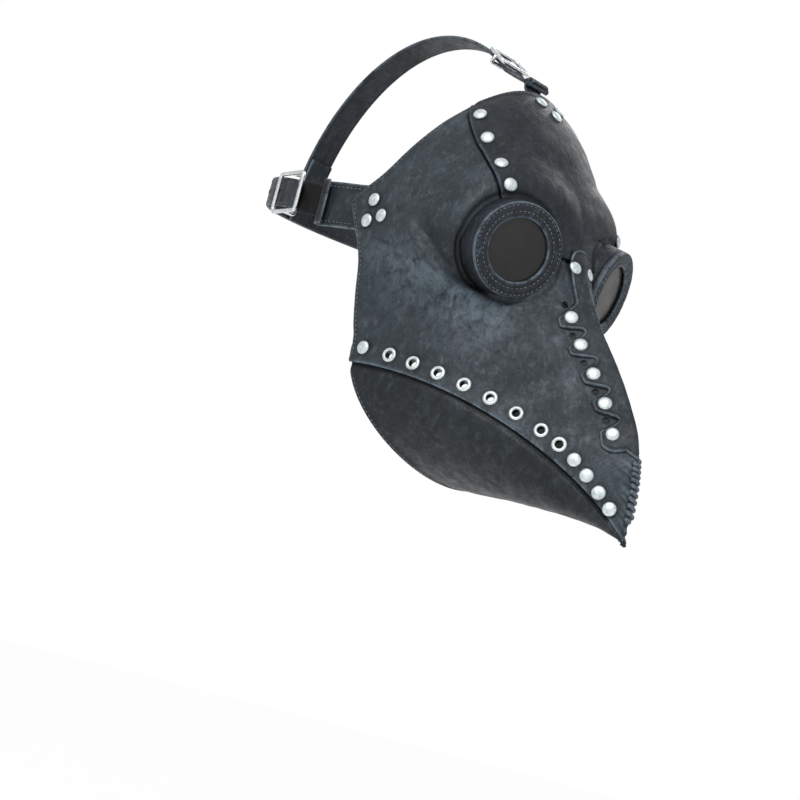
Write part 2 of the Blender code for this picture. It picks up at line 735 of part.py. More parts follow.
def slider(name, origin, out, wide, width, stack, length, side=-1):
    """Wire slider: a flat oblong ring over the straps and a bar behind them. wide is the strap's width
    direction and origin the middle of the stack of straps."""
    along = wide.cross(out).normalized()
    half_length = length / 2
    half_height = width / 2 + wire_radius + 1.2 * MM
    front = stack / 2 + wire_radius + 0.4 * MM
    behind = -stack / 2 - wire_radius - 0.7 * MM
    corner = 3 * MM
    ring = []
    for cx, cz, start in ((1, 1, 0), (-1, 1, 90), (-1, -1, 180), (1, -1, 270)):
        for k in range(4):
            angle = math.radians(start + 30 * k)
            ring.append(origin + along * (cx * (half_length - corner) + corner * math.cos(angle))
                        + wide * (cz * (half_height - corner) + corner * math.sin(angle)) + out * front)
    bar = [origin + wide * (z * half_height) + out * depth
           for z, depth in ((1, front), (1, behind), (-1, behind), (-1, front))]
    pieces = []
    for label, points, closed in ((name, ring, True), (name + "_bar", bar, False)):
        curve = bpy.data.curves.new(label, "CURVE")
        curve.dimensions = "3D"
        curve.bevel_depth = wire_radius * (1 if closed else 0.93)
        curve.bevel_resolution = 1
        curve.use_fill_caps = True
        line = curve.splines.new("POLY")
        line.points.add(len(points) - 1)
        for spot, p in zip(line.points, points):
            spot.co = (p.x * -side, p.y, p.z, 1)
        line.use_cyclic_u = closed
        pieces.append(from_curve(curve, label, Matrix.Identity(4), silver if closed else None,
                                 collection if closed else cutters))
    boolean(pieces[0], pieces[1], "UNION")


for label, side in SIDES.items():
    temple_tab(label, side)
    web = head_band("side_webbing_" + label, 0.5 * MM, head_turn(web_run), 5, webbing_width,
                    webbing_thickness, web_out, webbing, side)
    roll = turned("webbing_roll_" + label, [(0, webbing_width / 2), (fold_radius, webbing_width / 2),
                                            (fold_radius, -webbing_width / 2), (0, -webbing_width / 2)],
                  Matrix.Translation((fold_axis.x * -side, fold_axis.y, fold_axis.z)), None, 12, where=cutters)
    boolean(web, roll, "UNION")
    slider_turn = head_turn(slider_run)
    slider_out = head_point(slider_turn, 1) - head_point(slider_turn, 0)
    slider("strap_slider_" + label, head_point(slider_turn, strap_out / 2),
           Vector((slider_out.x, slider_out.y, 0)).normalized(), up, webbing_width,
           webbing_thickness + layer_gap + strap_thickness, slider_length, side)
    end_turn = math.pi / 2 - back_gap / head_half_width
    head_band("rear_strap_" + label, strap_run, end_turn, 14, strap_width, strap_thickness,
              strap_out, hide, side)


# Crown strap: from a tab inside the top of the brow panel, over the head, down to a patch at the back.
crown_rise = head_top - strap_level
crown_depth = head_back - head_centre
x_axis = Vector((1, 0, 0))


def crown_point(turn, out=0.0):
    """The path over the head: turn is 0 at the front and 180 degrees at the back."""
    outward = Vector((0, -math.cos(turn) / crown_depth, math.sin(turn) / crown_rise)).normalized()
    return Vector((0, head_centre - crown_depth * math.cos(turn),
                   strap_level + crown_rise * math.sin(turn))) + outward * out


def crown_out(turn):
    return (crown_point(turn, 1) - crown_point(turn, 0)).normalized()


tab_end = -0.45             # the tab runs this far past the top edge, in sections
tab_rows = [[(skin, u, ridge_fraction(max(u, 0), crown_width * share), seam_lift - lap_depth - lap_slack)
             for share in (0.0, 0.2, 0.4, 0.55)] for u in (tab_end, -0.2, 0.1, 0.5, 0.9, 1.35)]
crown_tab = shell("crown_tab", tab_rows, fold_wall, hide_dark, whole=True)
boolean(crown_tab, pins("crown_tab_holes", frames_for(crown_rivets, -1), rivet_shank + rivet_hole_clearance,
                        8 * MM, 9 * MM, 6))
tab_out = normal(skin, tab_end, 0.0)
tab_out = Vector((0, tab_out.y, tab_out.z)).normalized()
crown_fold = skin(tab_end, 0) + tab_out * (seam_lift - lap_depth - lap_slack + fold_radius + fold_clearance)
crown_fold.x = 0
tab_along = x_axis.cross(-tab_out)
crown_frame = Matrix((-tab_out, tab_along, x_axis)).transposed().to_4x4()
crown_frame.translation = crown_fold
boolean(crown_tab, fold_block("crown_fold_block", crown_frame, crown_width * 1.1, first_degrees=25), "UNION")

crown_start = math.radians(56)
crown_end = math.radians(166.5)
crown_lift = 1.7 * MM
crown_turns = spaced(crown_start, crown_end, 15)
crown_middle = [crown_fold, crown_fold.lerp(crown_point(crown_start, crown_lift), 0.5)]
crown_middle += [crown_point(t, crown_lift) for t in crown_turns]
crown_normals = [tab_out, tab_out.lerp(crown_out(crown_start), 0.5).normalized()] + [crown_out(t) for t in crown_turns]
crown_strap = band("crown_strap", crown_middle, crown_normals, [x_axis] * len(crown_middle), crown_width,
                   strap_thickness, hide)
boolean(crown_strap, turned("crown_roll", [(0, crown_width / 2), (fold_radius, crown_width / 2),
                                           (fold_radius, -crown_width / 2), (0, -crown_width / 2)],
                            crown_frame, None, 12, where=cutters), "UNION")
slider_at = math.radians(62)
slider("crown_slider", crown_point(slider_at, crown_lift), crown_out(slider_at), x_axis, crown_width,
       strap_thickness, crown_slider_length)

patch_out = -0.9 * MM
patch_turns = spaced(math.radians(158), math.radians(177), 6)
band("back_patch", [crown_point(t, patch_out) for t in patch_turns], [crown_out(t) for t in patch_turns],
     [x_axis] * 6, strap_width, strap_thickness, hide_dark)
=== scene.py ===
# Plague doctor mask: the finished surfaces over its riveted face shell, goggles and head harness.
# Lengths are metres unless a name says mm. The origin is midway between the goggle openings, the beak
# points along -Y and the wearer's left is +X.
import json
import math
import bmesh
import bpy
import numpy as np
from mathutils import Matrix, Vector, noise

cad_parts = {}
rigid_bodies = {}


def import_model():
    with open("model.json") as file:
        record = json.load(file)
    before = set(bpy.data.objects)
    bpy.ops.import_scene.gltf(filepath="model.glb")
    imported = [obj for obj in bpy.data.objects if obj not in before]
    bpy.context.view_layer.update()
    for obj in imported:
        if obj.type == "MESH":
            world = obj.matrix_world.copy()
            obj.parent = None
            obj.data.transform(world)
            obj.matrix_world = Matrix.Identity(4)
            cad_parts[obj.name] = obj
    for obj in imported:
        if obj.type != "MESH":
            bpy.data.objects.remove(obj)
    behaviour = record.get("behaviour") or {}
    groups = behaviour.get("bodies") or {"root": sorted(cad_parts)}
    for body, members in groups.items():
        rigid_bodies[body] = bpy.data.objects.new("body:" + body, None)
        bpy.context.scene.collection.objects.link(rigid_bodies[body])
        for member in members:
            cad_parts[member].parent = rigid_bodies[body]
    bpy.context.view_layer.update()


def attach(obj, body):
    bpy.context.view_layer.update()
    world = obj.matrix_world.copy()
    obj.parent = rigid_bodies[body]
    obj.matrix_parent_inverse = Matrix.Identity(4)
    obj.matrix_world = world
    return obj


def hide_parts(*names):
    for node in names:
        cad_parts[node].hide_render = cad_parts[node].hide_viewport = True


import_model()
mm = 0.001
sides = {"right": -1, "left": 1}
scene = bpy.context.scene
print("frame loaded")


def hexColour(code):
    parts = [int(code[k:k + 2], 16) / 255 for k in (0, 2, 4)]
    return tuple(c / 12.92 if c <= 0.04045 else ((c + 0.055) / 1.055) ** 2.4 for c in parts) + (1.0,)


def addNode(tree, kind, settings=None, sockets=None):
    # settings are the node's own choices; a socket takes a value or another node's output
    node = tree.nodes.new(kind)
    for key, value in (settings or {}).items():
        if key == "stops":
            elements = node.color_ramp.elements
            for element, (place, code) in zip(elements, (value[0], value[-1])):
                element.position, element.color = place, hexColour(code)
            for place, code in value[1:-1]:
                elements.new(place).color = hexColour(code)
        else:
            setattr(node, key, value)
    for key, value in (sockets or {}).items():
        if isinstance(value, bpy.types.NodeSocket):
            tree.links.new(value, node.inputs[key])
        else:
            node.inputs[key].default_value = value
    return node


def newFinish(name):
    finish = bpy.data.materials.new(name)
    finish.use_nodes = True
    tree = finish.node_tree
    return finish, tree, tree.nodes["Principled BSDF"]


def dress(tree, shader, colour, rough, height, strength, bumpMm):
    bump = addNode(tree, "ShaderNodeBump", {}, {"Strength": strength, "Distance": bumpMm * mm,
                                                "Height": height}).outputs[0]
    for key, source in (("Base Color", colour), ("Roughness", rough), ("Normal", bump)):
        tree.links.new(source, shader.inputs[key])


# Vegetable-tanned cow hide, dyed black and dry-brushed with blue-grey: cloudy tone, fine pebbled grain,
# rubbed edges, a painted highlight on the cheeks below the goggles and painted shade in the folds,
# grooves and round the fasteners.
hideLook = {
    "grainMm": 1.7,        # finer than this would not show
    "cloudMm": 34.0, "blotchMm": 7.5, "brushMm": 2.6, "speckMm": 1.5, "crackMm": 6.5, "warpMm": 5.0,
    "bumpMm": 0.34, "roughLow": 0.40, "roughHigh": 0.66, "ior": 1.5, "specular": 0.22,
}


def brushedHide(name, deep, body, pale, wornAndLit, look=hideLook, cloudShare=0.5):
    finish, tree, shader = newFinish(name)
    coords = addNode(tree, "ShaderNodeTexCoord").outputs["Object"]
    stretched = addNode(tree, "ShaderNodeMapping", {}, {"Vector": coords, "Scale": (1.0, 0.55, 0.3),
                                                        "Rotation": (0.5, 0.2, 0.3)}).outputs[0]
    cloud, blotch, brush, speck = [addNode(tree, "ShaderNodeTexNoise", {}, {
        "Vector": place, "Scale": 1 / (spotMm * mm), "Detail": detail, "Roughness": rough,
        "Distortion": bend}).outputs["Fac"] for place, spotMm, detail, rough, bend in (
            (coords, look["cloudMm"], 5, 0.62, 0.4), (coords, look["blotchMm"], 7, 0.68, 0.8),
            (stretched, look["brushMm"], 6, 0.72, 0.0), (coords, look["speckMm"], 3, 0.6, 0.0))]
    # the first mark pales rubbed edges and, on the cheeks, paints a highlight below each goggle; the second
    # is painted shade in folds, grooves, laps and rings round the fasteners
    wear, soot = (addNode(tree, "ShaderNodeAttribute", {"attribute_name": key}).outputs["Fac"]
                  for key in ("wear", "soot"))
    warp = addNode(tree, "ShaderNodeTexNoise", {}, {"Vector": coords, "Scale": 1 / (look["warpMm"] * mm),
                                                    "Detail": 2.0}).outputs["Color"]
    bent = addNode(tree, "ShaderNodeVectorMath", {"operation": "MULTIPLY_ADD"},
                   {0: warp, 1: (0.0012, 0.0012, 0.0012), 2: coords}).outputs[0]
    pebble = addNode(tree, "ShaderNodeTexVoronoi", {"feature": "SMOOTH_F1"}, {
        "Vector": bent, "Scale": 1 / (look["grainMm"] * mm), "Smoothness": 0.5}).outputs["Distance"]
    cracks = addNode(tree, "ShaderNodeTexVoronoi", {"feature": "DISTANCE_TO_EDGE"}, {
        "Vector": bent, "Scale": 1 / (look["crackMm"] * mm)}).outputs["Distance"]
    tone = addNode(tree, "ShaderNodeMix", {"data_type": "FLOAT"},
                   {0: cloudShare, 2: blotch, 3: cloud}).outputs[0]
    colour = addNode(tree, "ShaderNodeValToRGB", {"stops": [(0.25, deep), (0.50, body), (0.76, pale)]},
                     {"Fac": tone}).outputs["Color"]
    brushed, pits, rubbedAndLit, crazed, rough = [addNode(
        tree, "ShaderNodeMapRange", {"interpolation_type": "SMOOTHSTEP"},
        {"Value": source, "From Min": low, "From Max": high, "To Min": atLow, "To Max": atHigh}).outputs[0]
        for source, low, high, atLow, atHigh in (
            (brush, 0.50, 0.74, 0.0, 0.34), (speck, 0.57, 0.72, 0.0, 0.5), (blotch, 0.30, 0.62, 0.0, wear),
            (cracks, 0.0, 0.05, 0.0, 0.30), (tone, 0.35, 0.68, look["roughHigh"], look["roughLow"]))]
    # the last mix is painted shade, in near black
    for share, code in ((brushed, wornAndLit), (pits, deep), (rubbedAndLit, wornAndLit), (soot, "0b0d10")):
        colour = addNode(tree, "ShaderNodeMix", {"data_type": "RGBA"},
                         {0: share, 6: colour, 7: hexColour(code)}).outputs[2]
    height = crazed
    for part, share in ((pebble, -0.55), (brush, 0.7), (blotch, 1.6)):
        height = addNode(tree, "ShaderNodeMath", {"operation": "MULTIPLY_ADD"},
                         {0: part, 1: share, 2: height}).outputs[0]
    dress(tree, shader, colour, rough, height, 0.62, look["bumpMm"])
    shader.inputs["IOR"].default_value = look["ior"]
    shader.inputs["Specular IOR Level"].default_value = look["specular"]
    return finish


cheekHide = brushedHide("cow_hide_dry_brushed_cheek", "101417", "21282d", "364149", "5a6771")
browHide = brushedHide("cow_hide_dry_brushed_brow", "090c0e", "14191e", "242c33", "3f4a53")
jawHide = brushedHide("cow_hide_dry_brushed_jaw", "090b0d", "14191c", "252d32", "404b52", cloudShare=0.35)
stripHide = brushedHide("cow_hide_dry_brushed_strip", "0c0f12", "1b2126", "2d353c", "56626b")
ringHide = brushedHide("moulded_hide_ring", "090c10", "12171e", "20282f", "55616c")
strapHide = brushedHide("cow_hide_strap", "0c0f12", "1c2126", "2e353b", "4c565e")
tabHide = brushedHide("cow_hide_tab", "0c0f12", "1c2227", "2f383f", "525d66")


# Steel rivets and eyelets, zinc plated and tumbled: pale, matte silver with faint scratches; painted shade
# darkens each skirt where it meets the hide and the inside of each eyelet.
def tumbledZinc(name, pale, dull, metal, rough):
    finish, tree, shader = newFinish(name)
    coords = addNode(tree, "ShaderNodeTexCoord").outputs["Object"]
    stretched = addNode(tree, "ShaderNodeMapping", {}, {"Vector": coords, "Scale": (1, 4, 1.4)}).outputs[0]
    patch, scratch = [addNode(tree, "ShaderNodeTexNoise", {}, {
        "Vector": place, "Scale": 1 / (spotMm * mm), "Detail": detail, "Roughness": grain}).outputs["Fac"]
        for place, spotMm, detail, grain in ((coords, 2.4, 5, 0.65), (stretched, 1.0, 4, 0.7))]
    # painted shade, in dark grey, on the skirts and in the eyelets' holes
    soot = addNode(tree, "ShaderNodeAttribute", {"attribute_name": "soot"}).outputs["Fac"]
    colour = addNode(tree, "ShaderNodeValToRGB", {"stops": [(0.32, dull), (0.62, pale)]},
                     {"Fac": patch}).outputs["Color"]
    height = addNode(tree, "ShaderNodeMath", {"operation": "ADD"}, {0: scratch, 1: patch}).outputs[0]
    colour = addNode(tree, "ShaderNodeMix", {"data_type": "RGBA"},
                     {0: soot, 6: colour, 7: hexColour("2a2e31")}).outputs[2]
    dulled = addNode(tree, "ShaderNodeMapRange", {"interpolation_type": "SMOOTHSTEP"}, {
        "Value": patch, "From Min": 0.3, "From Max": 0.7, "To Min": rough + 0.12, "To Max": rough}).outputs[0]
    dress(tree, shader, colour, dulled, height, 0.5, 0.12)
    shader.inputs["Metallic"].default_value = metal
    return finish


rivetZinc = tumbledZinc("zinc_plated_steel_tumbled", "c2c9cb", "9aa3a6", 0.75, 0.42)
wireNickel = tumbledZinc("nickel_plated_wire", "d2d5d6", "9da2a4", 1.0, 0.24)


# Smoked polycarbonate, injection moulded: almost black, glossy, with a faint haze of dust.
def smokedLens():
    finish, tree, shader = newFinish("smoked_polycarbonate_moulded")
    coords = addNode(tree, "ShaderNodeTexCoord").outputs["Object"]
    haze, dust = [addNode(tree, "ShaderNodeTexNoise", {}, {
        "Vector": coords, "Scale": 1 / (spotMm * mm), "Detail": detail, "Roughness": grain}).outputs["Fac"]
        for spotMm, detail, grain in ((13.0, 4, 0.55), (0.8, 3, 0.6))]
    colour = addNode(tree, "ShaderNodeValToRGB", {"stops": [(0.3, "131212"), (0.7, "1b1a1a")]},
                     {"Fac": haze}).outputs["Color"]
    dusty, rough = [addNode(tree, "ShaderNodeMapRange", {"interpolation_type": "SMOOTHSTEP"}, {
        "Value": source, "From Min": low, "From Max": high, "To Min": atLow, "To Max": atHigh}).outputs[0]
        for source, low, high, atLow, atHigh in ((dust, 0.66, 0.74, 0.0, 0.2), (haze, 0.3, 0.7, 0.34, 0.22))]
    colour = addNode(tree, "ShaderNodeMix", {"data_type": "RGBA"},
                     {0: dusty, 6: colour, 7: hexColour("454240")}).outputs[2]
    dress(tree, shader, colour, rough, haze, 0.2, 0.03)
    shader.inputs["IOR"].default_value = 1.58
    shader.inputs["Specular IOR Level"].default_value = 0.2
    return finish


lensPlastic = smokedLens()


waveScale = 0.314   # a wave pattern of this scale repeats once in a unit of length


# Black polyester webbing, woven and calendered smooth: fine cross ribs and a low sheen.
def calenderedWebbing(name, dark, light, pitchMm):
    finish, tree, shader = newFinish(name)
    uv = addNode(tree, "ShaderNodeUVMap", {"uv_map": "strap"}).outputs["UV"]
    warp, weft = (addNode(tree, "ShaderNodeTexWave", {"bands_direction": way}, {
        "Vector": uv, "Scale": waveScale / (pitchMm * mm), "Distortion": 0.6, "Detail": 1.0}).outputs["Fac"]
        for way in "XY")
    coords = addNode(tree, "ShaderNodeTexCoord").outputs["Object"]
    cloud = addNode(tree, "ShaderNodeTexNoise", {}, {"Vector": coords, "Scale": 1 / (9.0 * mm), "Detail": 4,
                                                     "Roughness": 0.6}).outputs["Fac"]
    weave = addNode(tree, "ShaderNodeMath", {"operation": "MULTIPLY"}, {0: warp, 1: weft}).outputs[0]
    tone = addNode(tree, "ShaderNodeMix", {"data_type": "FLOAT"}, {0: 0.45, 2: cloud, 3: weave}).outputs[0]
    colour = addNode(tree, "ShaderNodeValToRGB", {"stops": [(0.15, dark), (0.75, light)]},
                     {"Fac": tone}).outputs["Color"]
    rough = addNode(tree, "ShaderNodeMapRange", {"interpolation_type": "SMOOTHSTEP"}, {
        "Value": cloud, "From Min": 0.3, "From Max": 0.7, "To Min": 0.62, "To Max": 0.48}).outputs[0]
    dress(tree, shader, colour, rough, weave, 0.5, 0.12)
    shader.inputs["Specular IOR Level"].default_value = 0.12
    return finish


blackWebbing = calenderedWebbing("polyester_webbing_calendered", "050506", "121214", 1.1)


# Waxed linen thread: twisted strands with a dull wax bloom.
def waxedLinen(name, dark, light):
    finish, tree, shader = newFinish(name)
    coords = addNode(tree, "ShaderNodeTexCoord").outputs["Object"]
    twist = addNode(tree, "ShaderNodeTexWave", {"bands_direction": "DIAGONAL"}, {
        "Vector": coords, "Scale": waveScale / (0.9 * mm), "Distortion": 1.5, "Detail": 2.0}).outputs["Fac"]
    bloom = addNode(tree, "ShaderNodeTexNoise", {}, {"Vector": coords, "Scale": 1 / (4.0 * mm), "Detail": 5,
                                                     "Roughness": 0.65}).outputs["Fac"]
    tone = addNode(tree, "ShaderNodeMix", {"data_type": "FLOAT"}, {0: 0.4, 2: bloom, 3: twist}).outputs[0]
    colour = addNode(tree, "ShaderNodeValToRGB", {"stops": [(0.2, dark), (0.75, light)]},
                     {"Fac": tone}).outputs["Color"]
    rough = addNode(tree, "ShaderNodeMapRange", {"interpolation_type": "SMOOTHSTEP"}, {
        "Value": bloom, "From Min": 0.3, "From Max": 0.7, "To Min": 0.7, "To Max": 0.5}).outputs[0]
    dress(tree, shader, colour, rough, twist, 0.6, 0.15)
    return finish


seamThread = waxedLinen("waxed_linen_seam", "20262b", "58646d")
laceThread = waxedLinen("waxed_linen_lace", "20262c", "4c5861")
print("finishes made")

# The shell's skin.
# Cross-sections of the right half in millimetres, from the top edge down to the jaw seam. Each leaves the
# centre line at (0, y, z) and ends on the rear rim; turn, reach and drop shape it near the centre and pull
# shapes it at the rim.
faceShape = {
    "sections": [
        (56.7, 117.5, 47, 71.4, 93.0, 0, 22, 0, (10, -8, 11)),
        (41.7, 104.5, 60, 80.8, 76.5, 0, 38, 0, (5, -26, 12)),
        (25.0, 83.0, 68.5, 92.5, 58.0, 0, 48, 0, (1, -46, 7)),
        (11.0, 58.0, 73.5, 106, 38.0, 0, 56, 0, (-1, -62, 4)),
        (0.0, 36.0, 76, 124, 20.0, 0, 61, 0, (-2, -76, 2)),
        (-7.0, 15.5, 76, 121.3, 8.2, 4, 60, 0, (-2, -76, 0)),
        (-14.0, 0.0, 75.5, 112.5, -8, 12, 52, 0, (-2, -68, 0)),
        (-27.0, -20.0, 75, 107, -22.5, 32, 40, 0, (-1, -60, 0)),
        (-43.0, -41.0, 75, 103, -41, 46, 34, 0, (0, -57, 0)),
        (-59.5, -60.0, 75, 98, -60, 52, 34, 2, (0, -58, 0)),
        (-74.0, -80.0, 75, 95, -68, 56, 36, 8, (0, -60, 0)),
        (-86.0, -100.0, 75, 94, -73, 58, 36, 14, (0, -62, 0)),
        (-93.0, -126.0, 75, 93, -77, 56, 36, 24, (1, -62, 0)),
        (-95.5, -162.5, 75, 91.5, -87, 56, 41, 46, (2, -76, 1)),
    ],
    "keel": [(0, -97, -164), (0, -75, -151), (0, -10, -148), (0, 56, -145)],
    "browSeam": [(0.0, 0.90), (0.7, 0.80), (1.44, 0.69), (2.48, 0.55), (3.27, 0.475), (3.97, 0.41),
                 (4.9, 0.30), (5.6, 0.09)],
    "seamLiftMm": 1.2, "lapDropMm": 2.0, "stripLiftMm": 1.9,
}
goggle = {
    "spacingMm": 96.4, "toeOut": math.radians(22.2), "tiltDown": math.radians(12), "ringMm": 30.0,
    "flareMm": 1.2, "moundDepthMm": 16.0, "moundFadeMm": 30.0, "hideHoleMm": 28.2, "creaseMm": 33.0,
}


def sectionControls():
    rows = []
    for y, z, rimX, rimY, rimZ, turn, reach, drop, pull in faceShape["sections"]:
        angle = math.radians(turn)
        start, end = np.array((0, y, z)), np.array((-rimX, rimY, rimZ))
        leave = start + np.array((-reach * math.cos(angle), reach * math.sin(angle), drop))
        rows.append((start, leave, end + np.array(pull), end))
    rows = np.array(rows, float) * mm
    return np.concatenate([[2 * rows[0] - rows[1]], rows, [2 * rows[-1] - rows[-2]]])


controlRows = sectionControls()
lastSection = len(faceShape["sections"]) - 1
eyeSpot = np.array((-goggle["spacingMm"] / 2, 0, 0)) * mm
flatShare = math.cos(goggle["tiltDown"])
eyeLine = np.array((-math.sin(goggle["toeOut"]) * flatShare, -math.cos(goggle["toeOut"]) * flatShare,
                    -math.sin(goggle["tiltDown"])))


def smooth(t):
    t = np.clip(t, 0, 1)
    return t * t * (3 - 2 * t)


def bezier(row, t):
    t = t[..., None]
    s = 1 - t
    return row[0] * s ** 3 + row[1] * 3 * t * s * s + row[2] * 3 * t * t * s + row[3] * t ** 3


def eyeRadius(point):
    away = point - eyeSpot
    height = away @ eyeLine
    return np.linalg.norm(away - height[..., None] * eyeLine, axis=-1), height


def skin(u, v):
    # u counts sections from the top, v runs from the centre line to the rim
    u, v = np.broadcast_arrays(np.asarray(u, float), np.asarray(v, float))
    i = np.clip(np.floor(u).astype(int), 0, lastSection - 1)
    t = (u - i)[..., None]
    row = []
    for k in range(4):
        p0, p1, p2, p3 = (controlRows[i + step, k] for step in range(4))
        row.append((2 * p1 + (p2 - p0) * t + (2 * p0 - 5 * p1 + 4 * p2 - p3) * t ** 2
                    + (3 * p1 - p0 - 3 * p2 + p3) * t ** 3) * 0.5)
    point = bezier(row, v)
    radius, height = eyeRadius(point)
    swell = 1 - smooth((radius / mm - goggle["ringMm"] - goggle["flareMm"] - 2) / goggle["moundFadeMm"])
    return point + (swell * np.maximum(0, -goggle["moundDepthMm"] * mm - height))[..., None] * eyeLine


keelRow = [np.array(p, float) * mm for p in faceShape["keel"]]


def jaw(w, v):
    # w runs from the seam (0) to the keel (1), v from the beak tip to the rim
    w, v = np.broadcast_arrays(np.asarray(w, float), np.asarray(v, float))
    seam, keel = skin(np.full_like(v, lastSection), v), bezier(keelRow, v)
    fall = seam[..., 2] - keel[..., 2]
    below = seam + np.stack([-seam[..., 0] * 0.03, -fall * 0.1, -fall * 0.48], -1)
    beside = keel + np.stack([seam[..., 0] * 0.6, fall * 0, fall * 0], -1)
    return bezier([seam, below, beside, keel], w)


def normals(surface, u, v):
    step = 0.002
    u, v = np.broadcast_arrays(np.asarray(u, float), np.asarray(v, float))
    out = np.cross(surface(u, v + step) - surface(u, v - step), surface(u + step, v) - surface(u - step, v))
    return out / np.maximum(np.linalg.norm(out, axis=-1, keepdims=True), 1e-12)


def seamShare(u):
    seam = np.array(faceShape["browSeam"])
    return np.interp(u, seam[:, 0], seam[:, 1])


def across(u, distance):
    return distance * 0.02 / np.linalg.norm(skin(u, 0.51) - skin(u, 0.49), axis=-1)


def ridgeShare(u, distance):
    return distance * 0.06 / np.linalg.norm(skin(u, 0.06) - skin(u, 0.0), axis=-1)


def upShare(v, distance):
    return distance * 0.3 / np.linalg.norm(skin(lastSection - 0.3, v) - skin(lastSection, v), axis=-1)


def mirrored(points, side):
    out = np.array(points, float)
    out[..., 0] *= -side
    return out


fasteners = {
    "browUs": [1.24, 2.12, 2.87, 3.5], "browInsetMm": 7,
    "ridgeUs": [5.9, 7.55, 8.38, 9.33, 10.31, 11.26], "ridgeInsetsMm": [7, 16, 16, 16, 16, 16],
    "temple": [(4.11, 0.91), (4.95, 0.88), (5.2, 0.94)],
    "crown": [(0.62, 0.10), (0.62, -0.10), (1.06, 0.0)],
    "jawRearV": 0.944, "jawFrontVs": [0.256, 0.205, 0.15, 0.095], "jawGapMm": 11.3, "jawTipGapMm": 5.2,
    "eyeletVs": list(np.linspace(0.846, 0.373, 7)) + [0.312],
    "eyeletHoleMm": 3.3, "slotHoleMm": 2.4, "sinkMm": 0.4, "sinkRunMm": 6.2, "shadeAtMm": 5.2,
}


def rowHeight(v):
    v = np.asarray(v, float)
    tipGap, gap = fasteners["jawTipGapMm"], fasteners["jawGapMm"]
    return lastSection - upShare(v, (tipGap + (gap - tipGap) * smooth((v - 0.08) / 0.25)) * mm)


browSpots = [(u, float(seamShare(u) - across(u, fasteners["browInsetMm"] * mm))) for u in fasteners["browUs"]]
ridgeSpots = [(u, float(ridgeShare(u, inset * mm)))
              for u, inset in zip(fasteners["ridgeUs"], fasteners["ridgeInsetsMm"])]
jawSpots = [(float(rowHeight(v)), v) for v in [fasteners["jawRearV"]] + fasteners["jawFrontVs"]]
eyeletSpots = [(float(rowHeight(v)), v) for v in fasteners["eyeletVs"]]
stripLook = {
    "start": 5.05, "end": 11.5, "narrowMm": 10.5, "wideMm": 23.5, "straightMm": 8, "slantPerMm": 0.03,
    "slotMm": 12.5, "slotSpan": 0.36, "thickMm": 2.0, "holeInsetMm": 18.0,
}
slotUs = [(a + b) / 2 - 0.18 for a, b in zip(fasteners["ridgeUs"][1:], fasteners["ridgeUs"][2:])]
holeSpots = [(u + stripLook["slantPerMm"] * (stripLook["holeInsetMm"] - stripLook["straightMm"]),
              float(ridgeShare(u, stripLook["holeInsetMm"] * mm))) for u in [6.86] + slotUs]


def cheekLift(u):
    return faceShape["seamLiftMm"] * smooth((np.asarray(u, float) - lastSection + 1.6) / 1.0)


def runLength(points, axis):
    steps = np.linalg.norm(np.diff(points, axis=axis), axis=-1)
    zero = np.zeros_like(np.take(steps, [0], axis=axis))
    return np.concatenate([zero, np.cumsum(steps, axis=axis)], axis=axis) / mm


def hem(d, width=5.0, raised=0.5, stitchAt=3.0, groove=0.35):
    # profile of a turned and stitched border, in mm, at d mm from the edge
    rise = raised * smooth((width + 0.9 - d) / 0.9)
    line = -groove * np.exp(-((d - stitchAt) / 0.55) ** 2)
    return rise + line - 1.1 * np.clip(1 - d / 1.5, 0, 1) ** 2


def dents(points, size=26.0, depth=0.55):
    # slow unevenness of hand-formed hide, in mm
    flat = points.reshape(-1, 3) / mm
    shift = Vector((7, 3, 1))
    out = [depth * (noise.noise(Vector(p) / size) + 0.4 * noise.noise(Vector(p) / (size * 0.33) + shift))
           for p in flat]
    return np.array(out).reshape(points.shape[:-1])


def near(points, spots):
    # distance in mm from each point to the nearest of some places on the skin
    best = np.full(points.shape[:-1], 1e9)
    for u, v in spots:
        best = np.minimum(best, np.linalg.norm(points - skin(u, v), axis=-1))
    return best / mm


def gridMesh(name, points, marks, side=-1):
    # outward faces for the right half; side +1 mirrors the sheet
    rows, columns = points.shape[:2]
    flat = mirrored(points, side).reshape(-1, 3)
    index = np.arange(rows * columns).reshape(rows, columns)
    a, b, c, d = index[:-1, :-1], index[:-1, 1:], index[1:, 1:], index[1:, :-1]
    quads = np.stack([a, b, c, d], -1).reshape(-1, 4)
    if side > 0:
        quads = quads[:, ::-1]
    mesh = bpy.data.meshes.new(name)
    mesh.from_pydata(flat.tolist(), [], quads.tolist())
    for key, values in marks.items():
        layer = mesh.attributes.new(key, "FLOAT", "POINT")
        layer.data.foreach_set("value", np.ascontiguousarray(values, np.float32).ravel())
    return mesh


def addPiece(name, mesh, finish):
    piece = bpy.data.objects.new(name, mesh)
    scene.collection.objects.link(piece)
    mesh.materials.clear()
    mesh.materials.append(finish)
    return piece


def applied(piece):
    # the piece with its modifiers made real
    bpy.context.view_layer.update()
    graph = bpy.context.evaluated_depsgraph_get()
    mesh = bpy.data.meshes.new_from_object(piece.evaluated_get(graph))
    finishes = list(piece.data.materials)
    piece.modifiers.clear()
    piece.data = mesh
    if not mesh.materials:
        for m in finishes:
            mesh.materials.append(m)
    return piece


def smoothShaded(piece, angle=38):
    mesh = piece.data
    mesh.shade_smooth()
    form = bmesh.new()
    form.from_mesh(mesh)
    limit = math.radians(angle)
    for edge in form.edges:
        if len(edge.link_faces) == 2:
            edge.smooth = edge.calc_face_angle(0) < limit
    form.to_mesh(mesh)
    form.free()
    return piece


def thickened(piece, thicknessMm):
    step = piece.modifiers.new("wall", "SOLIDIFY")
    step.thickness = thicknessMm * mm
    step.offset = -1
    return applied(piece)


def placeFrames(spots, side):
    u, v = np.array(spots).T
    return mirrored(skin(u, v), side), mirrored(normals(skin, u, v), side)


